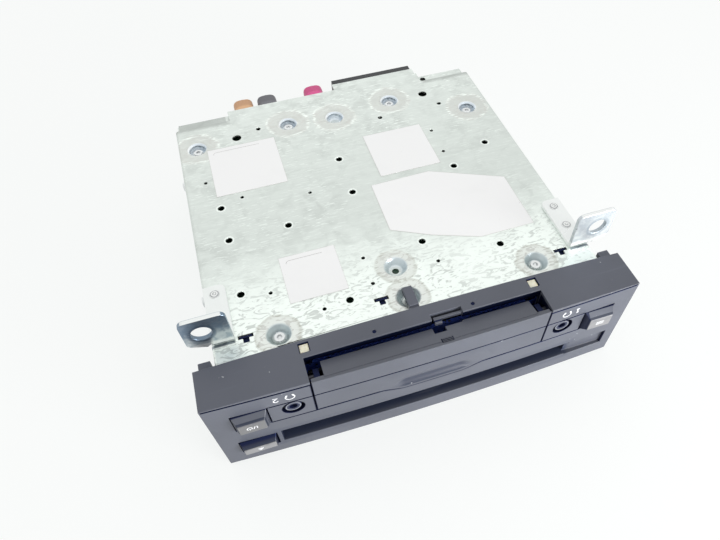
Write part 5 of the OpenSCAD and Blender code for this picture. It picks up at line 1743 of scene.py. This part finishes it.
@dataclass
class Electronics:
    """Boards with their chips, cans, nuts and flat cables."""

    frame: Frame
    plain: tuple[str, ...] = ("main_board", "board_chips", "board_capacitors", "ribbon_cables", "board_nuts")

    def build(self) -> None:
        """Dresses the boards and what is on them."""
        for node in self.plain:
            self.frame.dress(node)
        self.frame.dress("ribbon_sockets", Finishes.table["socket_black"])
        # The key board is coloured deep blue, standing in for the navy shade seen in the gap behind the flap.
        self.frame.dress("key_board", SolderMask("key_board_mask", (0.03, 0.06, 0.3)))


@dataclass
class DiscDrive:
    """Drive inside the case: deck, loading gears, spindle, pickup and clamp."""

    frame: Frame
    plain: tuple[str, ...] = (
        "drive_rails", "dampers", "drive_deck", "disc_guide", "feed_roller", "roller_shaft", "roller_gear",
        "idler_gear", "motor_pinion", "loading_motor", "spindle_motor", "turntable", "rod_holders",
        "guide_rods", "pickup_sled", "pickup_lens", "lead_screw", "sled_motor", "clamp_arm", "clamper",
    )

    def build(self) -> None:
        """Dresses the drive."""
        for node in self.plain:
            self.frame.dress(node)


@dataclass(frozen=True)
class Lamp:
    """A soft lamp: where it hangs, where it points, its width and height in metres and its power in watts."""

    name: str
    at: Triple
    aim: Triple
    size: Pair
    watts: float

    def hang(self) -> None:
        """Hangs the lamp, out of the camera's sight."""
        data = bpy.data.lights.new(self.name, "AREA")
        data.shape = "RECTANGLE"
        data.size, data.size_y = self.size
        data.energy = self.watts
        lamp = bpy.data.objects.new(self.name, data)
        lamp.location = self.at
        lamp.rotation_euler = (Vector(self.aim) - Vector(self.at)).to_track_quat("-Z", "Y").to_euler()
        lamp.visible_camera = False
        bpy.context.scene.collection.objects.link(lamp)


@dataclass
class Studio:
    """Camera at the photograph's place, pale floor, white surround and soft lamps."""

    sensor: float = 36.0
    lens: float = 28.857
    shift: Pair = (-0.0402, 0.0212)
    nearest: float = 0.01
    eye: Triple = (-0.054916, -0.210889, 0.266724)
    right: Triple = (0.94988, -0.31239, -0.01147)
    up: Triple = (0.25783, 0.76217, 0.59381)
    ahead: Triple = (0.17676, 0.56701, -0.80452)
    white: Colour = (0.95, 0.965, 0.957)
    around: float = 0.84
    shadow_share: float = 0.2
    floor_half: float = 4.0
    floor_z: float = -0.0002
    lamps: tuple[Lamp, ...] = (
        Lamp("overhead_lamp", (0.1, -0.1, 1.0), (0.1, -0.1, 0.0), (1.4, 1.4), 1.0),
        Lamp("rear_lamp", (0.0, 1.3, 0.6), (0.0, 0.05, 0.05), (1.6, 0.5), 1.3),
        Lamp("front_lamp", (0.36, -0.56, 0.1), (0.08, -0.09, 0.03), (0.4, 0.14), 4.8),
    )

    def make_camera(self) -> None:
        """Sets up the camera."""
        data = bpy.data.cameras.new("camera")
        data.sensor_width = self.sensor
        data.lens = self.lens
        data.shift_x, data.shift_y = self.shift
        data.clip_start = self.nearest
        camera = bpy.data.objects.new("camera", data)
        columns = Matrix((self.right, self.up, tuple(-part for part in self.ahead))).transposed()
        camera.matrix_world = Matrix.Translation(self.eye) @ columns.to_4x4()
        bpy.context.scene.collection.objects.link(camera)
        bpy.context.scene.camera = camera
        bpy.context.scene.view_settings.view_transform = "Standard"

    @staticmethod
    def _end_in(graph: Graph, output: str, lit: bpy.types.Node, seen: bpy.types.Node, share: float) -> None:
        """Ends a tree in one shader that lights and another for what the camera sees.

        Args:
            graph: The tree.
            output: The type of its last node.
            lit: The shader that lights the part.
            seen: The shader seen directly, in gloss or through glass.
            share: How much of the second is seen.
        """
        path = graph.node("ShaderNodeLightPath")
        rays = (path.outputs[f"Is {kind} Ray"] for kind in ("Camera", "Glossy", "Transmission"))
        factor = strongest(Value(graph, ray) for ray in rays) * share
        both = graph.node("ShaderNodeMixShader", inputs={0: factor, 1: lit.outputs[0], 2: seen.outputs[0]})
        graph.node(output, inputs={"Surface": both.outputs[0]})

    def _make_floor(self) -> None:
        """Lays the floor, which keeps a soft part of the shadow."""
        form = bmesh.new()
        bmesh.ops.create_grid(form, x_segments=1, y_segments=1, size=self.floor_half)
        mesh = to_mesh(form, "floor")
        floor = bpy.data.objects.new("floor", mesh)
        floor.location.z = self.floor_z
        bpy.context.scene.collection.objects.link(floor)
        material = bpy.data.materials.new("floor_white")
        material.use_nodes = True
        graph = Graph(material.node_tree)
        matt = graph.node("ShaderNodeBsdfDiffuse", inputs={"Color": self.white})
        glow = graph.node("ShaderNodeEmission", inputs={"Color": self.white, "Strength": 1.0})
        self._end_in(graph, "ShaderNodeOutputMaterial", matt, glow, 1.0 - self.shadow_share)
        mesh.materials.append(material)

    def _make_surround(self) -> None:
        """Makes the world: even light, and white where it is seen."""
        world = bpy.data.worlds.new("surround")
        world.use_nodes = True
        bpy.context.scene.world = world
        graph = Graph(world.node_tree)
        lit = graph.node("ShaderNodeBackground", inputs={"Color": (1.0, 1.0, 1.0), "Strength": self.around})
        shown = graph.node("ShaderNodeBackground", inputs={"Color": self.white, "Strength": 1.0})
        self._end_in(graph, "ShaderNodeOutputWorld", lit, shown, 1.0)

    def build(self) -> None:
        """Builds the floor, the surround and the lamps."""
        self._make_floor()
        self._make_surround()
        for lamp in self.lamps:
            lamp.hang()


def main() -> None:
    """Builds the scene in order."""
    logging.basicConfig(level=logging.INFO, format="%(name)s: %(message)s")
    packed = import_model()
    studio = Studio()
    studio.make_camera()
    slots = {part["node"]: part["material_slot"] for part in packed["record"]["subparts"]}
    frame = Frame(packed["nodes"], slots)
    for part in (Case, Ears, FrontPanel, InputBay, RearSockets, Electronics, DiscDrive):
        part(frame).build()
        LOG.info("finished %s", part.__name__)
    studio.build()


if __name__ == "__main__":
    main()
